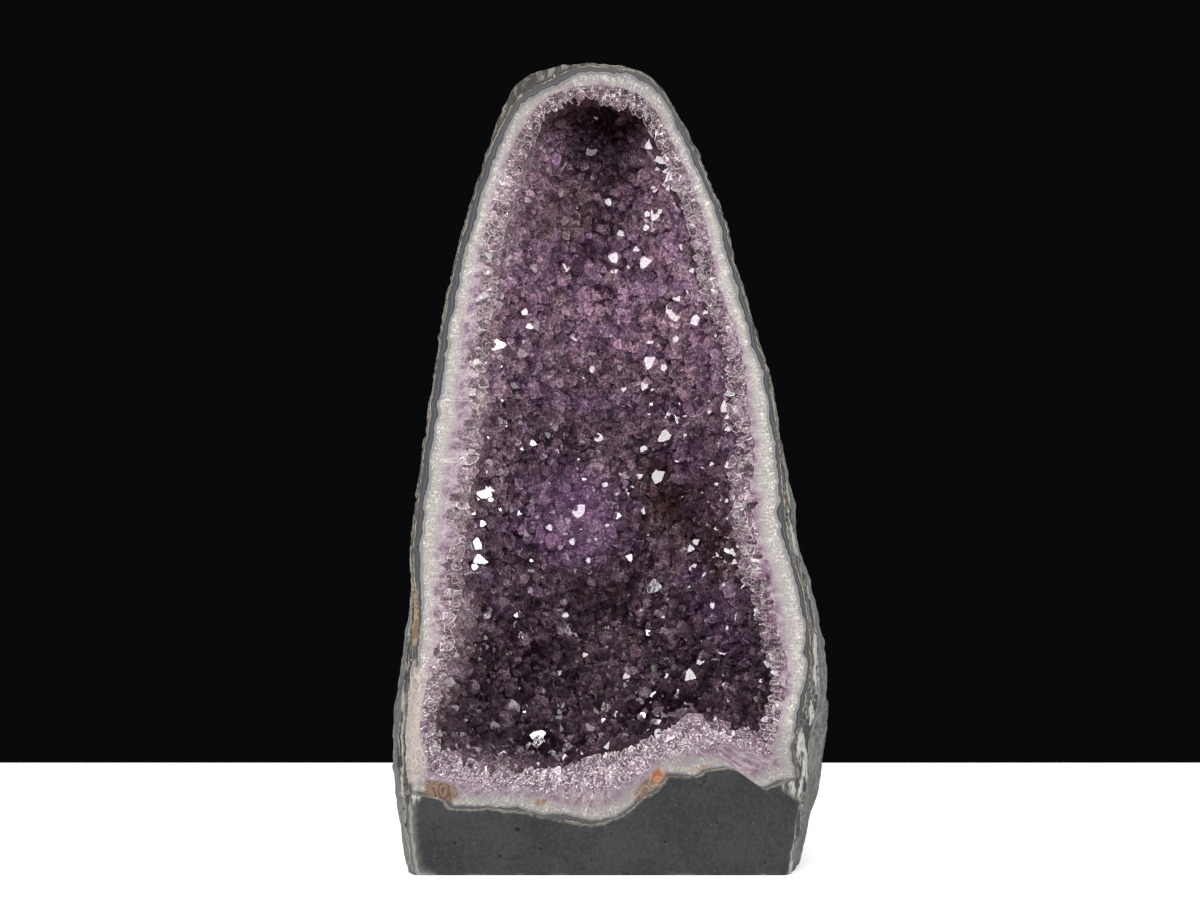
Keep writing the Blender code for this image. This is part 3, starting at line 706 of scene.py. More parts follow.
colour = layered(bands, [
    (needles.between(0.5, 0.58) * uneven_comb * faded * 0.6, (0.66, 0.63, 0.6)),
    (needles.between(0.5, 0.42) * uneven_comb * faded * 0.5, (0.24, 0.22, 0.225)),
    (grains.between(0.56, 0.64, 0.65) * outer_half, (0.74, 0.71, 0.67)),
    (grains.between(0.45, 0.37, 0.55) * outer_half, (0.17, 0.16, 0.155)),
    (zone * 0.8, (0.29, 0.215, 0.255)),
    (blot.between(1.12, 0.8) * zone, (0.155, 0.082, 0.142)),
    (seams.between(0.085, 0.03) * zone * 0.32, (0.48, 0.42, 0.4)),
    (needles.between(0.54, 0.6) * zone * 0.28, (0.58, 0.51, 0.52)),
    (outer_line, (0.42, 0.37, 0.29)),
    ((place.z.between(0.37, 0.43) | lip) * 0.3, (0.1, 0.09, 0.09)),
    (cracked * 0.4, (0.66, 0.6, 0.52)),
])
quartz.feed(result, {"Color": colour, "Height": needles * comb})
SAWN_QUARTZ = quartz.tree

# Stains of iron: centre (x, z), half sizes, tilt, colour and strength of each on the lower rim.
RIM_STAINS = [
    (-0.0935, 0.0475, 0.0095, 0.0060, -0.30, (0.125, 0.068, 0.036), 0.92),
    (-0.0380, 0.0415, 0.0045, 0.0020, 0.05, (0.20, 0.090, 0.035), 0.60),
    (0.0268, 0.0562, 0.0052, 0.0036, 0.65, (0.30, 0.095, 0.016), 0.85),
    (0.0195, 0.0495, 0.0080, 0.0034, 0.75, (0.15, 0.080, 0.040), 0.75),
    (0.0520, 0.0610, 0.0045, 0.0018, 0.20, (0.24, 0.12, 0.055), 0.55),
    (-0.1075, 0.1450, 0.0024, 0.0180, 0.00, (0.30, 0.19, 0.09), 0.60),
    (0.0990, 0.2060, 0.0022, 0.0080, 0.25, (0.42, 0.22, 0.06), 0.60),
]
polished, agate = new_material("agate and quartz")
where = agate.place()
rim = agate.attribute("rim_mm")
level = where.parts().z
look = use_group(agate, SAWN_QUARTZ, {"Rim": rim, "Vector": where, "Purple": level.between(0.34, 0.2, 1, 0.6),
                                      "Lip": level.between(0.092, 0.07)})
ragged = where.noise(200, 4, 0.65, out=1)
# The lower left border is cream rock crystal cut across its prisms, which leaves a net of oval cells.
corner = ragged.scaled(0.9, (where - (-0.107, FACE_Y, 0.085)) * (75, 20, 30)) - 0.45
ovals = ragged.scaled(0.0035, where * (1.25, 1, 0.85)).cells(230, "DISTANCE_TO_EDGE")
net = layered(ovals.ramp([(0, (0.46, 0.4, 0.355)), (0.05, (0.41, 0.355, 0.32)), (0.13, (0.24, 0.19, 0.185)),
                          (0.22, (0.3, 0.24, 0.235)), (0.42, (0.37, 0.31, 0.295))]), [
    (where.noise(110, 3, 0.6).between(0.42, 0.58, 0.75), (0.37, 0.32, 0.29)),
    (ragged.scaled(0.006, where).parts().x.between(-0.109, -0.1125), (0.4, 0.36, 0.32)),
])
colour = (corner.length().between(1.1, 0.8) * 0.85).mix(look["Color"], net)
swirl = (where.noise(90, 2, 0.45) * 52).sine()
for x, z, half_x, half_z, tilt, tint, strength in RIM_STAINS:
    local = agate.add("Mapping", {"Vector": where - (x, FACE_Y, z), "Rotation": (0, tilt, 0)})
    away = (local * (1 / half_x, 20, 1 / half_z) + ragged.scaled(1.7, -0.85)).length()
    banded = swirl.between(-0.9, 0.9).mix(tuple(0.72 * part for part in tint),
                                          tuple(min(1, 1.15 * part + 0.04) for part in tint))
    colour = (away.between(1.25, 0.6) * strength).mix(colour, banded)
agate.shader(Base_Color=colour, Roughness=0.22, IOR=1.54, Normal=look["Height"].bump(0.0002, 0.5))
dress(lining, polished, "agate_quartz_lining")

# ---- Amethyst bed ----
# The solid amethyst at the foot of the crystals, where they have grown together. It fills the
# space between the white quartz and the grooves, and shows sawn on the face as a lilac border.
BED_THICKNESS = 0.0050
BED_BUMPS = [(0.011, 0.0014, 52), (0.005, 0.0010, 53)]  # grain size, height and seed
BED_REACH, BED_TEETH = 0.0030, 0.0018  # how far the sawn bed reaches over the crystals' foot, and its teeth
BED_STEP, BED_LEANS = 3, 74  # it takes every third point round the rim

lilac, stone = new_material("amethyst bed")
where = stone.place()
rim = stone.attribute("rim_mm")
place = where.parts()
look = use_group(stone, SAWN_QUARTZ, {"Rim": rim, "Vector": where, "Purple": 1,
                                      "Lip": place.z.between(0.092, 0.07)})
# Behind the face the bed is dark purple, darkened further as painted shade in the grooves between the crystals.
behind = place.y.between(FACE_Y + 0.0034, FACE_Y + 0.007)
deep_groove_shade = where.noise(160, 3, 0.6).mix((0.035, 0.014, 0.034), (0.13, 0.07, 0.12))
stone.shader(Base_Color=behind.mix(look["Color"], deep_groove_shade), Roughness=0.3, IOR=1.544,
             Normal=where.noise(400, 3, 0.6).bump(0.0008, 0.8))

turn = rim_turns[::BED_STEP]
walls = root_surface(turn[:, None], np.linspace(math.pi / 2, 0.025, 9)[None, :], 0.0002)
outer_edge, foot_edge = amethyst_edge(turn) + 0.0003, root_reach(turn) - 0.0002
step = on_face(turn[:, None], np.stack([foot_edge, outer_edge], axis=1))
step[..., 1] += STEP_DEPTH - 0.0002
teeth = BED_REACH + left_border(turn) + BED_TEETH * grain(on_face(turn, foot_edge), 0.0038, 51)
shares = np.linspace(0, 1, 12)[None, :]
face = on_face(turn[:, None], outer_edge[:, None] - (outer_edge - foot_edge + teeth)[:, None] * shares)
face[..., 1] += (0.0001 + 0.0026 * shares**2.2
                 + 0.0003 * np.minimum(shares * 8, 1) * (1 + grain(face, 0.003, 56)))
lean = np.linspace(0.024, math.pi / 2, BED_LEANS)[None, :]
thickness = add_grains(BED_THICKNESS, root_surface(turn[:, None], lean, BED_THICKNESS), BED_BUMPS)
ground = root_surface(turn[:, None], lean, thickness)
points = np.concatenate([walls, step, face, ground], axis=1)
points[..., 1] = np.maximum(points[..., 1], FACE_Y)
facts = face_facts(turn, points, agate_edge(turn), outer_edge)
bed = shell("amethyst_bed", points, smooth=False, attributes=[("rim_mm", facts)])
dress(bed, lilac, "amethyst_crust")

# ---- Amethyst crystals ----
# Quartz points coloured by iron, packed side by side over the whole hollow and leaning every way.
# Each is a six-sided prism ended by three large and three small sloping faces.
FACE_SLOPE = math.radians(38.2)  # between a crystal's sloping face and its axis
CRYSTAL_SIZES = [
    # name, pitch, narrowest and widest half width, lowest and highest tip above the bed, tilt, seed
    ("large_points", 0.0096, 0.0034, 0.0066, 0.0030, 0.0088, 0.62, 5),
    ("medium_points", 0.0062, 0.0020, 0.0034, 0.0022, 0.0074, 0.72, 6),
    ("small_points", 0.0050, 0.0012, 0.0023, 0.0020, 0.0062, 0.85, 7),
]


def bed_spots(pitch, first, scatter, random):
    """Turns and leans of spots about one pitch apart, in rows round the bowl."""
    turns, leans = np.linspace(0, 1, 721), np.linspace(0, math.pi / 2, 200)
    walked = lengths_walked(root_surface(turns[None, :], leans[:, None], BED_THICKNESS))
    turn_parts, lean_parts = [], []
    for depth in np.arange(first, walked[-1], pitch * math.sqrt(3) / 2):
        around = lengths_walked(root_surface(turns, np.interp(depth, walked, leans), BED_THICKNESS))
        count = max(4, round(around[-1] / pitch))
        place = (np.arange(count) + random.uniform(0, 1) + scatter * random.uniform(-1, 1, count)) / count
        turn_parts.append(np.interp(place % 1 * around[-1], around, turns))
        stray = depth + scatter * pitch * random.uniform(-1, 1, count)
        lean_parts.append(np.interp(stray, walked, leans))
    return np.concatenate(turn_parts), np.concatenate(lean_parts)


def unit(vectors):
    """Each vector at length 1."""
    return vectors / np.linalg.norm(vectors, axis=-1, keepdims=True)


def inward(turn, lean, step=1e-4):
    """The bed's unit normal on its hollow side, from differences along turn and lean."""
    low, high = np.maximum(lean - step, 0), np.minimum(lean + step, math.pi / 2)
    along = root_surface(turn + step, lean, BED_THICKNESS) - root_surface(turn - step, lean, BED_THICKNESS)
    deeper = root_surface(turn, high, BED_THICKNESS) - root_surface(turn, low, BED_THICKNESS)
    return unit(np.cross(along, deeper))


def crystal_plan():
    """The corners of a crystal, each as the three planes that meet there, and the faces between them.

    Planes 0 to 5 are the prism, 6 to 11 slope over them, large and small in turn, and 12 is the
    foot. Sloping face k lies over prism face k, and the even ones are large.
    """
    corners = [(k, (k + 1) % 6, 12) for k in range(6)]
    corners += [(k, (k + 1) % 6, 6 + (k if k % 2 == 0 else (k + 1) % 6)) for k in range(6)]
    for k in (1, 3, 5):
        corners += [(k, 6 + k, 6 + k - 1), (k, 6 + k, 6 + (k + 1) % 6), (6 + k - 1, 6 + k, 6 + (k + 1) % 6)]
    corners.append((6, 8, 10))
    faces = [tuple(range(5, -1, -1))]
    for k in range(6):
        left = (k - 1) % 6
        small = 12 + 3 * (k // 2)  # the first corner of small face k
        if k % 2:
            faces.append((left, k, 6 + k, small + 1, small, 6 + left))
            faces.append((small, small + 1, small + 2))
        else:
            after, before = 12 + 3 * (k // 2), 12 + 3 * ((k // 2 - 1) % 3)
            faces.append((left, k, 6 + k, 6 + left))
            faces.append((6 + left, 6 + k, after, after + 2, 21, before + 2, before + 1))
    return np.array(corners), faces


CORNERS, FACES = crystal_plan()
SLOPING = FACES[2::2]  # the foot comes first, then prism faces and sloping faces in turn


def crystal_corners(count, length, random):
    """Corners of many crystals of half width 1 standing on their foot, each a little uneven in its own way.

    The planes' distances from the axis vary from crystal to crystal, and every corner is the
    solution of three plane equations. Where unevenness would swallow a face, the crystal is regular.
    """
    angle = np.arange(6) * math.pi / 3
    ring = np.stack([np.cos(angle), np.sin(angle), 0 * angle], axis=1)
    slope = ring * math.cos(FACE_SLOPE) + np.array([0, 0, math.sin(FACE_SLOPE)])
    normals = np.concatenate([ring, slope, [[0, 0, -1]]])
    small = np.tile([0, 1], 3)

    def solve(unevenness, smaller):
        tip = length[:, None] + small * smaller[:, None] + unevenness * 0.1 * random.uniform(-1, 1, (count, 6))
        prism = 1 + unevenness * 0.14 * random.uniform(-1, 1, (count, 6))
        distance = np.concatenate([prism, tip * math.sin(FACE_SLOPE), np.zeros((count, 1))], axis=1)
        corners = np.linalg.solve(np.broadcast_to(normals[CORNERS], (count, *normals[CORNERS].shape)),
                                  distance[:, CORNERS][..., None])[..., 0]
        inside = np.all(corners @ normals.T <= distance[:, None, :] + 1e-6, axis=(1, 2))
        return corners, inside

    varied, good = solve(1, random.uniform(0.14, 0.46, count))
    regular, _ = solve(0, np.full(count, 0.3))
    return np.where(good[:, None, None], varied, regular)


def grow(name, foot, axis, half_width, tip_height, cut, random, shine=None):
    """One mesh of many crystals. Each stands along its axis, turned at random, with its foot buried.

    Where a crystal reaches through the sawn face by more than its cut, it is moved back, and the
    rest is sawn off. Where shine holds a direction, the crystal is turned so that a large face
    looks that way. Sloping faces are fans round their middle. Each point keeps the crystal's own
    random tone, its height above the foot in millimetres and its distance from the axis in half
    widths. Each face corner keeps the face's random tone and how near the middle of the face it is.
    """
    count = len(foot)
    axis = unit(axis)
    aside = unit(np.cross(axis, random.normal(0, 1, (count, 3))))
    if shine is not None:
        aimed = np.any(shine != 0, axis=1)[:, None]
        leaning = unit(axis - np.sum(axis * shine, axis=1)[:, None] * shine)
        aside = np.where(aimed, shine * math.cos(FACE_SLOPE) - leaning * math.sin(FACE_SLOPE), aside)
        axis = np.where(aimed, shine * math.sin(FACE_SLOPE) + leaning * math.cos(FACE_SLOPE), axis)
    turned = np.stack([aside, np.cross(axis, aside), axis], axis=2)
    length = np.maximum(tip_height / half_width + 1, 1.75)
    local = crystal_corners(count, length, random) * half_width[:, None, None]
    local[..., 2] -= (length * half_width - tip_height)[:, None]
    points = foot[:, None, :] + local @ turned.transpose(0, 2, 1)
    points[..., 1] += np.maximum(FACE_Y - cut - points[..., 1].min(axis=1), 0)[:, None]
    sawn = FACE_Y + 0.00005 + 0.0003 * random.uniform(0, 1, count)
    points[..., 1] = np.maximum(points[..., 1], sawn[:, None])
    facts = np.stack([np.broadcast_to(random.uniform(0, 1, (count, 1)), local.shape[:2]), local[..., 2] * 1000,
                      np.hypot(local[..., 0], local[..., 1]) / half_width[:, None]], axis=-1)
    points, facts = (np.concatenate([part] + [part[:, face].mean(axis=1)[:, None] for face in SLOPING], axis=1)
                     for part in (points, facts))
    drawn, source, inner = [FACES[0]] + FACES[1::2], list(range(7)), [0] * (6 + sum(map(len, FACES[1::2])))
    for number, face in enumerate(SLOPING):
        drawn += [(face[k - 1], face[k], len(CORNERS) + number) for k in range(len(face))]
        source += [7 + number] * len(face)
        inner += [0, 0, 1] * len(face)
    sizes = [len(face) for face in drawn]
    loops = np.concatenate([np.array(face) for face in drawn])
    starts = np.cumsum([0] + sizes[:-1])
    in_prism = np.repeat(np.array(source) < 7, sizes).astype(float)
    each = np.arange(count)[:, None]
    mesh = bpy.data.meshes.new(name)
    mesh.vertices.add(points.shape[0] * points.shape[1])
    mesh.vertices.foreach_set("co", points.ravel())
    mesh.loops.add(count * len(loops))
    mesh.loops.foreach_set("vertex_index", (loops + points.shape[1] * each).ravel().astype(np.int32))
    mesh.polygons.add(count * len(drawn))
    mesh.polygons.foreach_set("loop_start", (starts + len(loops) * each).ravel().astype(np.int32))
    mesh.update(calc_edges=True)
    mesh.shade_flat()
    own = mesh.attributes.new("own", "FLOAT_VECTOR", "POINT")
    own.data.foreach_set("vector", facts.astype(np.float32).ravel())
    tones = np.repeat(random.uniform(0, 1, (count, 13))[:, source], sizes, axis=1)
    facet = mesh.attributes.new("facet", "FLOAT_VECTOR", "CORNER")
    facet.data.foreach_set("vector", np.stack(np.broadcast_arrays(tones, np.array(inner), in_prism),
                                              axis=-1).astype(np.float32).ravel())
    return add_object(name, mesh)


# Zones of colour in the hollow, among them painted shade under the crown and behind the lower lip, and painted
# light on the lower left: centre (x, y, z), radius, colour and strength of each.
COLOUR_SHADE_AND_LIGHT_ZONES = [
    ((-0.018, 0.000, 0.190), 0.042, (0.40, 0.22, 0.42), 0.60),
    ((0.066, 0.010, 0.130), 0.026, (0.24, 0.13, 0.26), 0.55),
    ((0.040, 0.030, 0.200), 0.028, (0.13, 0.065, 0.045), 0.75),
    ((0.068, 0.000, 0.172), 0.026, (0.12, 0.055, 0.050), 0.70),
    ((0.015, 0.010, 0.148), 0.020, (0.13, 0.070, 0.050), 0.60),
    ((-0.030, 0.000, 0.368), 0.030, (0.20, 0.13, 0.10), 0.40),
    ((0.020, 0.010, 0.355), 0.022, (0.20, 0.13, 0.10), 0.40),
    ((-0.070, -0.030, 0.200), 0.030, (0.22, 0.13, 0.11), 0.45),
    ((0.060, 0.020, 0.215), 0.050, (0.10, 0.040, 0.080), 0.55),
    # Painted shade under the crown's overhang.
    ((-0.004, -0.005, 0.424), 0.054, (0.010, 0.003, 0.006), 0.88),
    ((-0.004, -0.045, 0.424), 0.038, (0.020, 0.008, 0.012), 0.90),
    ((-0.004, -0.074, 0.426), 0.056, (0.026, 0.012, 0.012), 0.95),
    # Painted shade behind the lower lip.
    ((-0.040, -0.030, 0.072), 0.036, (0.014, 0.005, 0.012), 0.90),
    ((0.030, -0.020, 0.086), 0.040, (0.018, 0.006, 0.015), 0.92),
    # Painted light on the lower left wall, where the lamps reach little.
    ((-0.078, -0.045, 0.116), 0.056, (0.56, 0.41, 0.46), 0.90),
]
# Shaded creases between the lumps: centre as x and z, and radius, for each round patch along them.
CREASES = [(0.017, 0.232, 0.010), (0.024, 0.214, 0.011), (0.036, 0.198, 0.013), (0.050, 0.181, 0.013),
           (0.064, 0.168, 0.013), (0.082, 0.156, 0.012), (0.004, 0.140, 0.015), (-0.016, 0.146, 0.012)]
# How much of its colour's brightness the amethyst keeps at each height above the floor: it is darker towards
# the bottom.
BRIGHTNESS_KEPT_BY_HEIGHT = [(0.00, 0.17), (0.10, 0.30), (0.15, 0.43), (0.19, 0.53), (0.24, 0.55), (0.29, 0.90), (0.45, 0.95)]
glassy, crystal = new_material("amethyst crystal")
where = crystal.place()
place = where.parts()
own = crystal.attribute("own").parts()
facet = crystal.attribute("facet").parts()
veil, kind, bright = ((own.x * spread).fract() for spread in (7.3, 31.7, 113.1))
colour = layered(where.noise(42, 3, 0.6).between(0.38, 0.62).mix((0.66, 0.4, 0.58), (0.8, 0.55, 0.55)), [
    (kind.between(0.62, 0.95, 0.6), (0.33, 0.19, 0.46)),
    (kind.between(0.25, 0.05, 0.5), (0.44, 0.3, 0.25)),
    (own.x.between(0.45, 1, 0.5), (0.8, 0.58, 0.74)),
    (where.noise(260, 4, 0.7).between(0.5, 0.64) * veil, (0.8, 0.64, 0.74)),
    # Light lines: partly flaws inside the quartz, partly painted highlights.
    (where.cells(330, "DISTANCE_TO_EDGE").between(0.045, 0.01, 0.45), (0.9, 0.8, 0.85)),
    # Painted shade: the middle of each face darker than its edges.
    (facet.y.between(0.15, 0.85) * 0.45, (0.17, 0.06, 0.145)),
]).tinted(facet.x.scaled(1.2, 0.42))
colour = layered(colour, [
    # Painted highlights along the edges of the sloping faces.
    (facet.y.between(0.17, 0.06, 0.75) * (1 - facet.z), (0.95, 0.83, 0.88)),
    # Painted shade at the foot of each crystal, in the grooves between them.
    (own.y.between(2.6, 0, 0.85), (0.085, 0.03, 0.075)),
    # Painted shade in random patches, where crystals would shade each other.
    (where.noise(95, 2, 0.5).between(0.58, 0.4, 0.55), (0.085, 0.03, 0.075)),
])
warp = where + where.noise(45, 2, 0.6, out=1).scaled(0.03, -0.015)
level = warp.parts().z
kept = [(height / 0.45, (share, share * 0.88, share)) for height, share in BRIGHTNESS_KEPT_BY_HEIGHT]
colour = colour.tinted((level / 0.45).ramp(kept))
for centre, radius, tint, strength in COLOUR_SHADE_AND_LIGHT_ZONES:
    colour = (warp.distance(centre).between(radius, radius * 0.4) * strength).mix(colour, tint)
flat = warp * (1, 0, 1)
for x, z, radius in CREASES:
    near = flat.distance((x, 0, z)).between(radius, radius * 0.4, 0.62)
    colour = near.mix(colour, (0.05, 0.026, 0.022))
colour = colour.tinted(bright.between(0, 0.7, 1.15, 0.62))
lit = bright.between(0.78, 1) * level.between(0.13, 0.19, 0.3, 0.55) * level.between(0.39, 0.37)
from_face = place.y - FACE_Y
shaded = from_face.between(0.034, 0.014) * (place.x.between(-0.045, -0.02) | level.between(0.385, 0.4))
# Near the face on the left wall the crystals are made pale: partly paler crystals, partly painted light on a
# wall the lamps reach little.
left = place.x.between(-0.03, -0.06) * from_face.between(0.072, 0.024) * level.between(0.085, 0.115, 1, 0.25)
pale = own.x.between(0.2, 0.9).mix((0.42, 0.28, 0.33), (0.74, 0.63, 0.64)).tinted(facet.x.scaled(0.6, 0.65))
colour = layered(colour, [
    (lit, (0.78, 0.57, 0.71)), (shaded * 0.85, (0.058, 0.027, 0.038)), (left * 0.88, pale),
])
# Painted sparkle: fine flecks brightened well past the crystal's colour, and the colour dimmed between them.
colour = colour.tinted(where.noise(850, 2, 0.6).between(0.42, 0.66, 1.85, 0.7))
crystal.shader(Base_Color=colour, Roughness=0.05, IOR=1.544, Specular_IOR_Level=1, Transmission_Weight=0.55,
               Normal=where.noise(500, 2, 0.6).bump(0.0002, 0.08))

# Faces that throw the key light at the camera, by size of crystal: where they are seen on the sawn
# face's plane, as x and z in millimetres, and the share of other crystals that do so by chance.
KEY_PLACE, RIGHT_SPARKLE_PLACE = Vector((-0.9, -1.7, 1.60)), Vector((0.8, -2.1, 1.1))
SHINING = {
    "large_points": ([(-30, 188), (-39, 251), (-23, 201), (23, 341), (27, 407), (-74, 214), (36, 244),
                      (30, 225), (-74, 189), (79, 171), (23, 288), (-74, 180), (48, 103), (68, 264),
                      (-63, 296), (34, 399)], 0.004),
    "medium_points": ([(-69, 215), (-79, 173), (-72, 225), (37, 392), (30, 287), (20, 393), (18, 204),
                       (-19, 188), (-35, 196), (-47, 245), (-8, 339), (-36, 302), (38, 381), (19, 420),
                       (-47, 309), (-75, 197), (50, 184), (-54, 134), (69, 256), (-33, 317), (24, 370),
                       (59, 83), (-51, 317), (81, 161), (25, 362), (23, 243), (4, 357), (-9, 287),
                       (-41, 171), (29, 298), (-85, 151), (71, 248), (57, 316), (51, 337), (-17, 196),
                       (-72, 143)], 0.010),
    "small_points": ([], 0.040),
}
AIM_SCATTER = 0.035
SHINING_TIP, SHINING_WIDTH = 1.15, 0.72  # shares of the highest tip and of the widest half width
SPOT_SCATTER = 0.36  # of a pitch
MOST_CRYSTALS = 3500  # in one mesh
BEHIND_FACE = 0.0042  # how far behind the sawn face these crystals stay
LEFT_SIDE = -0.045  # left of it crystals reach through the face and are cut
LEFT_CUT = 0.0012  # the most that is cut off them
LOWEST_SPARKLE = 0.125  # below it no crystal throws the light by chance

for name, pitch, narrow, wide, low, high, tilt, seed in CRYSTAL_SIZES:
    random = np.random.default_rng(seed)
    spots_turn, spots_lean = bed_spots(pitch, 1.2 * wide, SPOT_SCATTER, random)
    foot = root_surface(spots_turn, spots_lean, BED_THICKNESS)
    axis = inward(spots_turn, spots_lean) + tilt * random.normal(0, 0.5, foot.shape)
    half_width = random.uniform(narrow, wide, len(foot))
    tip_height = random.uniform(low, high, len(foot))
    spots, by_chance = SHINING[name]
    to_eye = np.array(camera.location) - foot
    seen = foot + to_eye * ((foot[:, 1] - FACE_Y) / -to_eye[:, 1])[:, None]
    shining = (random.uniform(0, 1, len(foot)) < by_chance) & (foot[:, 2] > LOWEST_SPARKLE)
    for x, z in spots:
        nearest = np.argmin(np.hypot(seen[:, 0] - x / 1000, seen[:, 2] - z / 1000))
        tip_height[nearest], half_width[nearest] = SHINING_TIP * high, SHINING_WIDTH * wide
        shining[nearest] = True
    lamp = np.where(foot[:, :1] < LEFT_SIDE, np.array(RIGHT_SPARKLE_PLACE), np.array(KEY_PLACE))
    half_way = unit(to_eye) + unit(lamp - foot) + 2 * AIM_SCATTER * random.normal(0, 0.6, foot.shape)
    half_way *= (shining / np.linalg.norm(half_way, axis=1))[:, None]
    parts = math.ceil(len(foot) / MOST_CRYSTALS)
    for part in range(parts):
        some = slice(len(foot) * part // parts, len(foot) * (part + 1) // parts)
        label = name if parts == 1 else f"{name}_{part + 1}"
        cut = np.where(foot[some, 0] < LEFT_SIDE, -LEFT_CUT, -BEHIND_FACE)
        points = grow(label, foot[some], axis[some], half_width[some], tip_height[some], cut, random,
                      half_way[some])
        dress(points, glassy, "amethyst_crust")

# ---- Rim crystals ----
# Crystals that lay along the saw's path. They point into the hollow like teeth, the outer ones cut
# flush with the face, and they are paler than those inside, because white quartz lies behind them.
RIM_PITCH = 0.0031
RIM_ROWS, LIP_ROWS = 3, 7
RIM_HALF_WIDTHS = 0.0021, 0.0043
RIM_LENGTHS = 0.0062, 0.0090
ROW_STEP = 0.0024  # how much farther from the hollow each row's tips end
RIM_CUT = 0.0012  # the most that the saw takes off a rim crystal
FIRST_ROW_REACH = 0.0078  # from the crystals' foot to the first row's tips
SHORTEST_TOOTH = 0.0028  # crystals that would show less than this are left out
LONGER, LONGEST, PATCH_SIZE = 0.0012, 0.0045, 0.014  # teeth away from the foot are longer, in patches
RIGHT_GROWTH, FOOT_LOSS, CROWN_LOSS = 0.0014, 0.0022, 0.0009
LIFTS, FINE_LIFT = (2, 22), 18  # degrees that the teeth rise out of the face
FINE_WIDTH, FINE_LENGTH, FIRST_ROW_WIDTH = 0.72, 0.8, 1.2  # shares of the sizes above
LIP_WIDTH = 0.006  # where the lilac border is wider, further rows of finer crystals cover it

pale_amethyst, crystal = new_material("pale amethyst")
where = crystal.place()
own = crystal.attribute("own").parts()
place = where.parts()
facet = crystal.attribute("facet").parts()
inset = crystal.attribute("inset_mm", "Fac")
cloudy = where.noise(300, 4, 0.7)
spotty = where.noise(130, 3, 0.6)
sparkle_flecks = where.noise(850, 2, 0.6)
shadow = place.z.between(0.1, 0.08, 1, 0.6) | place.z.between(0.37, 0.41)
shadow = (shadow | place.x.between(-0.04, -0.07, 0.85)) * inset.between(0.5, 6, 0.85)
# Painted shade over the inner teeth of the right rim, in patches.
right = place.x.between(0.025, 0.055) * inset.between(0.5, 4.5) * spotty.between(0.6, 0.44, 0.9, 0.25)
left = place.x.between(-0.03, -0.06) * own.y.between(0.5, 4)
colour = layered(own.x.between(0.1, 0.9).mix((0.42, 0.31, 0.365), (0.64, 0.56, 0.565)), [
    (place.z.between(0.38, 0.41, 0.85), (0.24, 0.19, 0.172)),
    (shadow, (0.13, 0.075, 0.105)),
    (own.z.between(0.85, 0.3) * spotty.between(0.46, 0.56) * 0.85, (0.2, 0.085, 0.165)),
    (cloudy.between(0.52, 0.64, 0.7), (0.76, 0.69, 0.69)),
    (right, (0.145, 0.08, 0.118)),
]).tinted(facet.x.scaled(1.15, 0.34))
colour = layered(colour, [
    (left * 0.7, spotty.between(0.4, 0.6).mix((0.1, 0.055, 0.075), (0.36, 0.27, 0.29))),
    (place.z.between(0.1, 0.078, 0.58), (0.21, 0.14, 0.19)),
    # Painted highlights along the edges of the sloping faces.
    (facet.y.between(0.2, 0.05, 0.6) * (1 - facet.z), (0.86, 0.79, 0.78)),
# Painted sparkle: fine flecks brightened, the colour dimmed between them.
]).tinted(sparkle_flecks.between(0.42, 0.62, 1.45, 0.68))
# Painted glints on the lip's teeth.
glints = sparkle_flecks.between(0.6, 0.67) * place.z.between(0.105, 0.095, 0.9, 0.2)
colour = glints.mix(colour, (1, 0.94, 0.97))
crystal.shader(Base_Color=colour, Roughness=0.1, IOR=1.544, Specular_IOR_Level=0.6, Transmission_Weight=0.3,
               Normal=cloudy.bump(0.0004, 0.4))

random = np.random.default_rng(9)
ways = np.arange(round(walked[-1] / RIM_PITCH)) / round(walked[-1] / RIM_PITCH)
way, row = (part.ravel() for part in np.meshgrid(ways, np.arange(LIP_ROWS), indexing="ij"))
way = way + random.uniform(-0.5, 0.5, len(way)) / len(ways)
turn = np.interp(way % 1 * walked[-1], walked, fine_turns)
width = amethyst_edge(turn) - root_reach(turn)
tip_inset = width + FIRST_ROW_REACH + 0.8 * left_border(turn)
tip_inset -= ROW_STEP * (row + random.uniform(-0.5, 0.5, len(row)))
longer = LONGER + LONGEST * np.maximum(grain(on_face(turn, root_reach(turn)), PATCH_SIZE, 61), 0)
tip_inset += longer * (1 - near_turn(turn, FOOT_TURN, 0.11)) + RIGHT_GROWTH * near_turn(turn, RIGHT_TURN, 0.1)
tip_inset -= FOOT_LOSS * near_turn(turn, FOOT_TURN, 0.11) + CROWN_LOSS * near_turn(turn, CROWN_TURN, 0.07)
rows = np.where(near_turn(turn, LEFT_TURN, 0.12) > 0.55, 1, RIM_ROWS + np.where(width > LIP_WIDTH, LIP_ROWS, 0))
wanted = (tip_inset > SHORTEST_TOOTH) & (row < rows)
turn, row, tip_inset = turn[wanted], row[wanted], tip_inset[wanted]
_, out_x, out_z = rays(turn)
fine_rows = row >= RIM_ROWS
lift = np.radians(random.uniform(*LIFTS, len(turn)) + FINE_LIFT * fine_rows)
axis = np.stack([-out_x * np.cos(lift), -np.sin(lift), -out_z * np.cos(lift)], axis=1)
axis += 0.2 * random.normal(0, 1, axis.shape)
axis = unit(axis)
half_width = random.uniform(*RIM_HALF_WIDTHS, len(turn))
half_width *= np.where(fine_rows, FINE_WIDTH, np.where(row == 0, FIRST_ROW_WIDTH, 1))
length = random.uniform(*RIM_LENGTHS, len(turn)) * np.where(fine_rows, FINE_LENGTH, 1)
tip = on_face(turn, amethyst_edge(turn) - tip_inset)
tip[:, 1] += np.maximum(0.0042 - 0.0016 * row, 0.0002) + random.uniform(0, 0.001, len(turn))
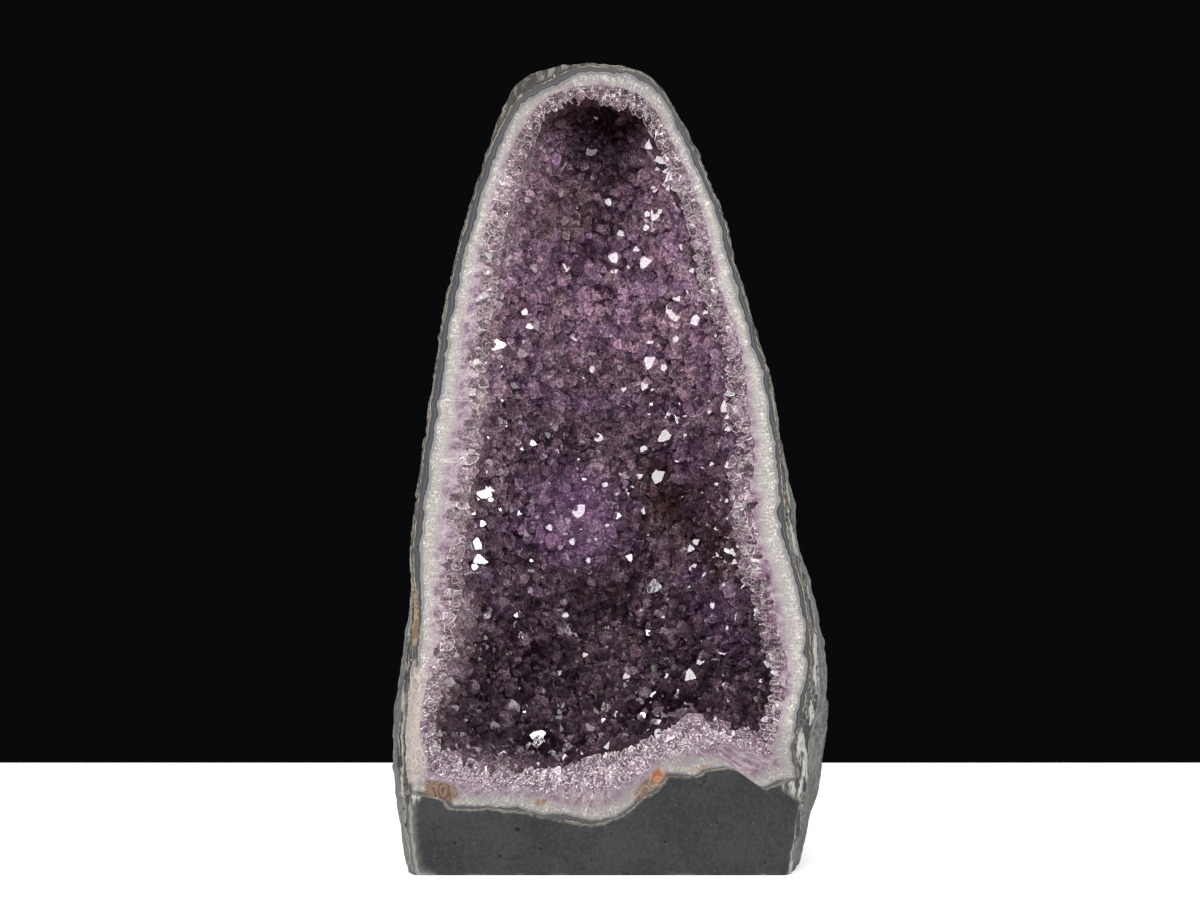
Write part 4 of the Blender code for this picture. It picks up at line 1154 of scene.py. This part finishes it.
rim_points = grow("rim_points", tip - axis * length[:, None], axis, half_width, length,
                  RIM_CUT * random.uniform(0, 1, len(turn)), random)
reached = np.repeat((tip_inset - width[wanted]) * 1000, len(rim_points.data.vertices) // len(turn))
layer = rim_points.data.attributes.new("inset_mm", "FLOAT", "POINT")
layer.data.foreach_set("value", reached.astype(np.float32))
dress(rim_points, pale_amethyst, "amethyst_crust")

# ---- Table, lights and dark room ----
# The geode stands on a plain pale table in front of a dark room. Large soft lights hang above it,
# behind it and on both sides of the camera, and two small ones make the crystals sparkle.
TABLE_BACK = 0.26
floor_mesh = bpy.data.meshes.new("table")
floor_mesh.from_pydata([(-3, -3, 0), (3, -3, 0), (3, TABLE_BACK, 0), (-3, TABLE_BACK, 0)], [], [(0, 1, 2, 3)])
table = add_object("table", floor_mesh)
pale, paint = new_material("pale table")
paint.shader(Base_Color=(0.86, 0.86, 0.86), Roughness=0.6, Emission_Color=(1, 1, 1), Emission_Strength=0.4)
floor_mesh.materials.append(pale)
table.visible_glossy = False  # seen in the crystals under the crown it would turn them grey
table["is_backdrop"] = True

LIGHTS = [
    # name, place, aim, width, height, power
    ("key_softbox", KEY_PLACE, (0, 0, 0.22), 1.0, 1.0, 31),
    ("fill_softbox", (1.4, -1.6, 0.8), (0, 0, 0.20), 1.5, 1.5, 22),
    ("overhead_softbox", (0.0, -0.5, 1.9), (0, 0, 0), 2.2, 1.4, 34),
    ("right_sparkle", RIGHT_SPARKLE_PLACE, (0, 0, 0.22), 0.40, 0.40, 9),
    ("left_sparkle", (-1.5, -1.7, 0.7), (0, 0, 0.22), 0.30, 0.30, 5),
    ("back_softbox", (0.0, 1.8, 1.2), (0, 0, 0.25), 1.6, 1.0, 12),
]
for name, place, aim, width, height, power in LIGHTS:
    lamp = bpy.data.lights.new(name, "AREA")
    lamp.shape, lamp.size, lamp.size_y, lamp.energy = "RECTANGLE", width, height, power
    stand = add_object(name, lamp, place, aim)
    stand.visible_camera = False
    stand.visible_glossy = name != "overhead_softbox"  # mirrored in the crystals it would only turn them grey

room = bpy.data.worlds.new("dark room")
room.use_nodes = True
room.node_tree.nodes["Background"].inputs["Color"].default_value = (0.0028, 0.0029, 0.0032, 1)
bpy.context.scene.world = room
bpy.context.scene.view_settings.view_transform = "Standard"

low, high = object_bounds()
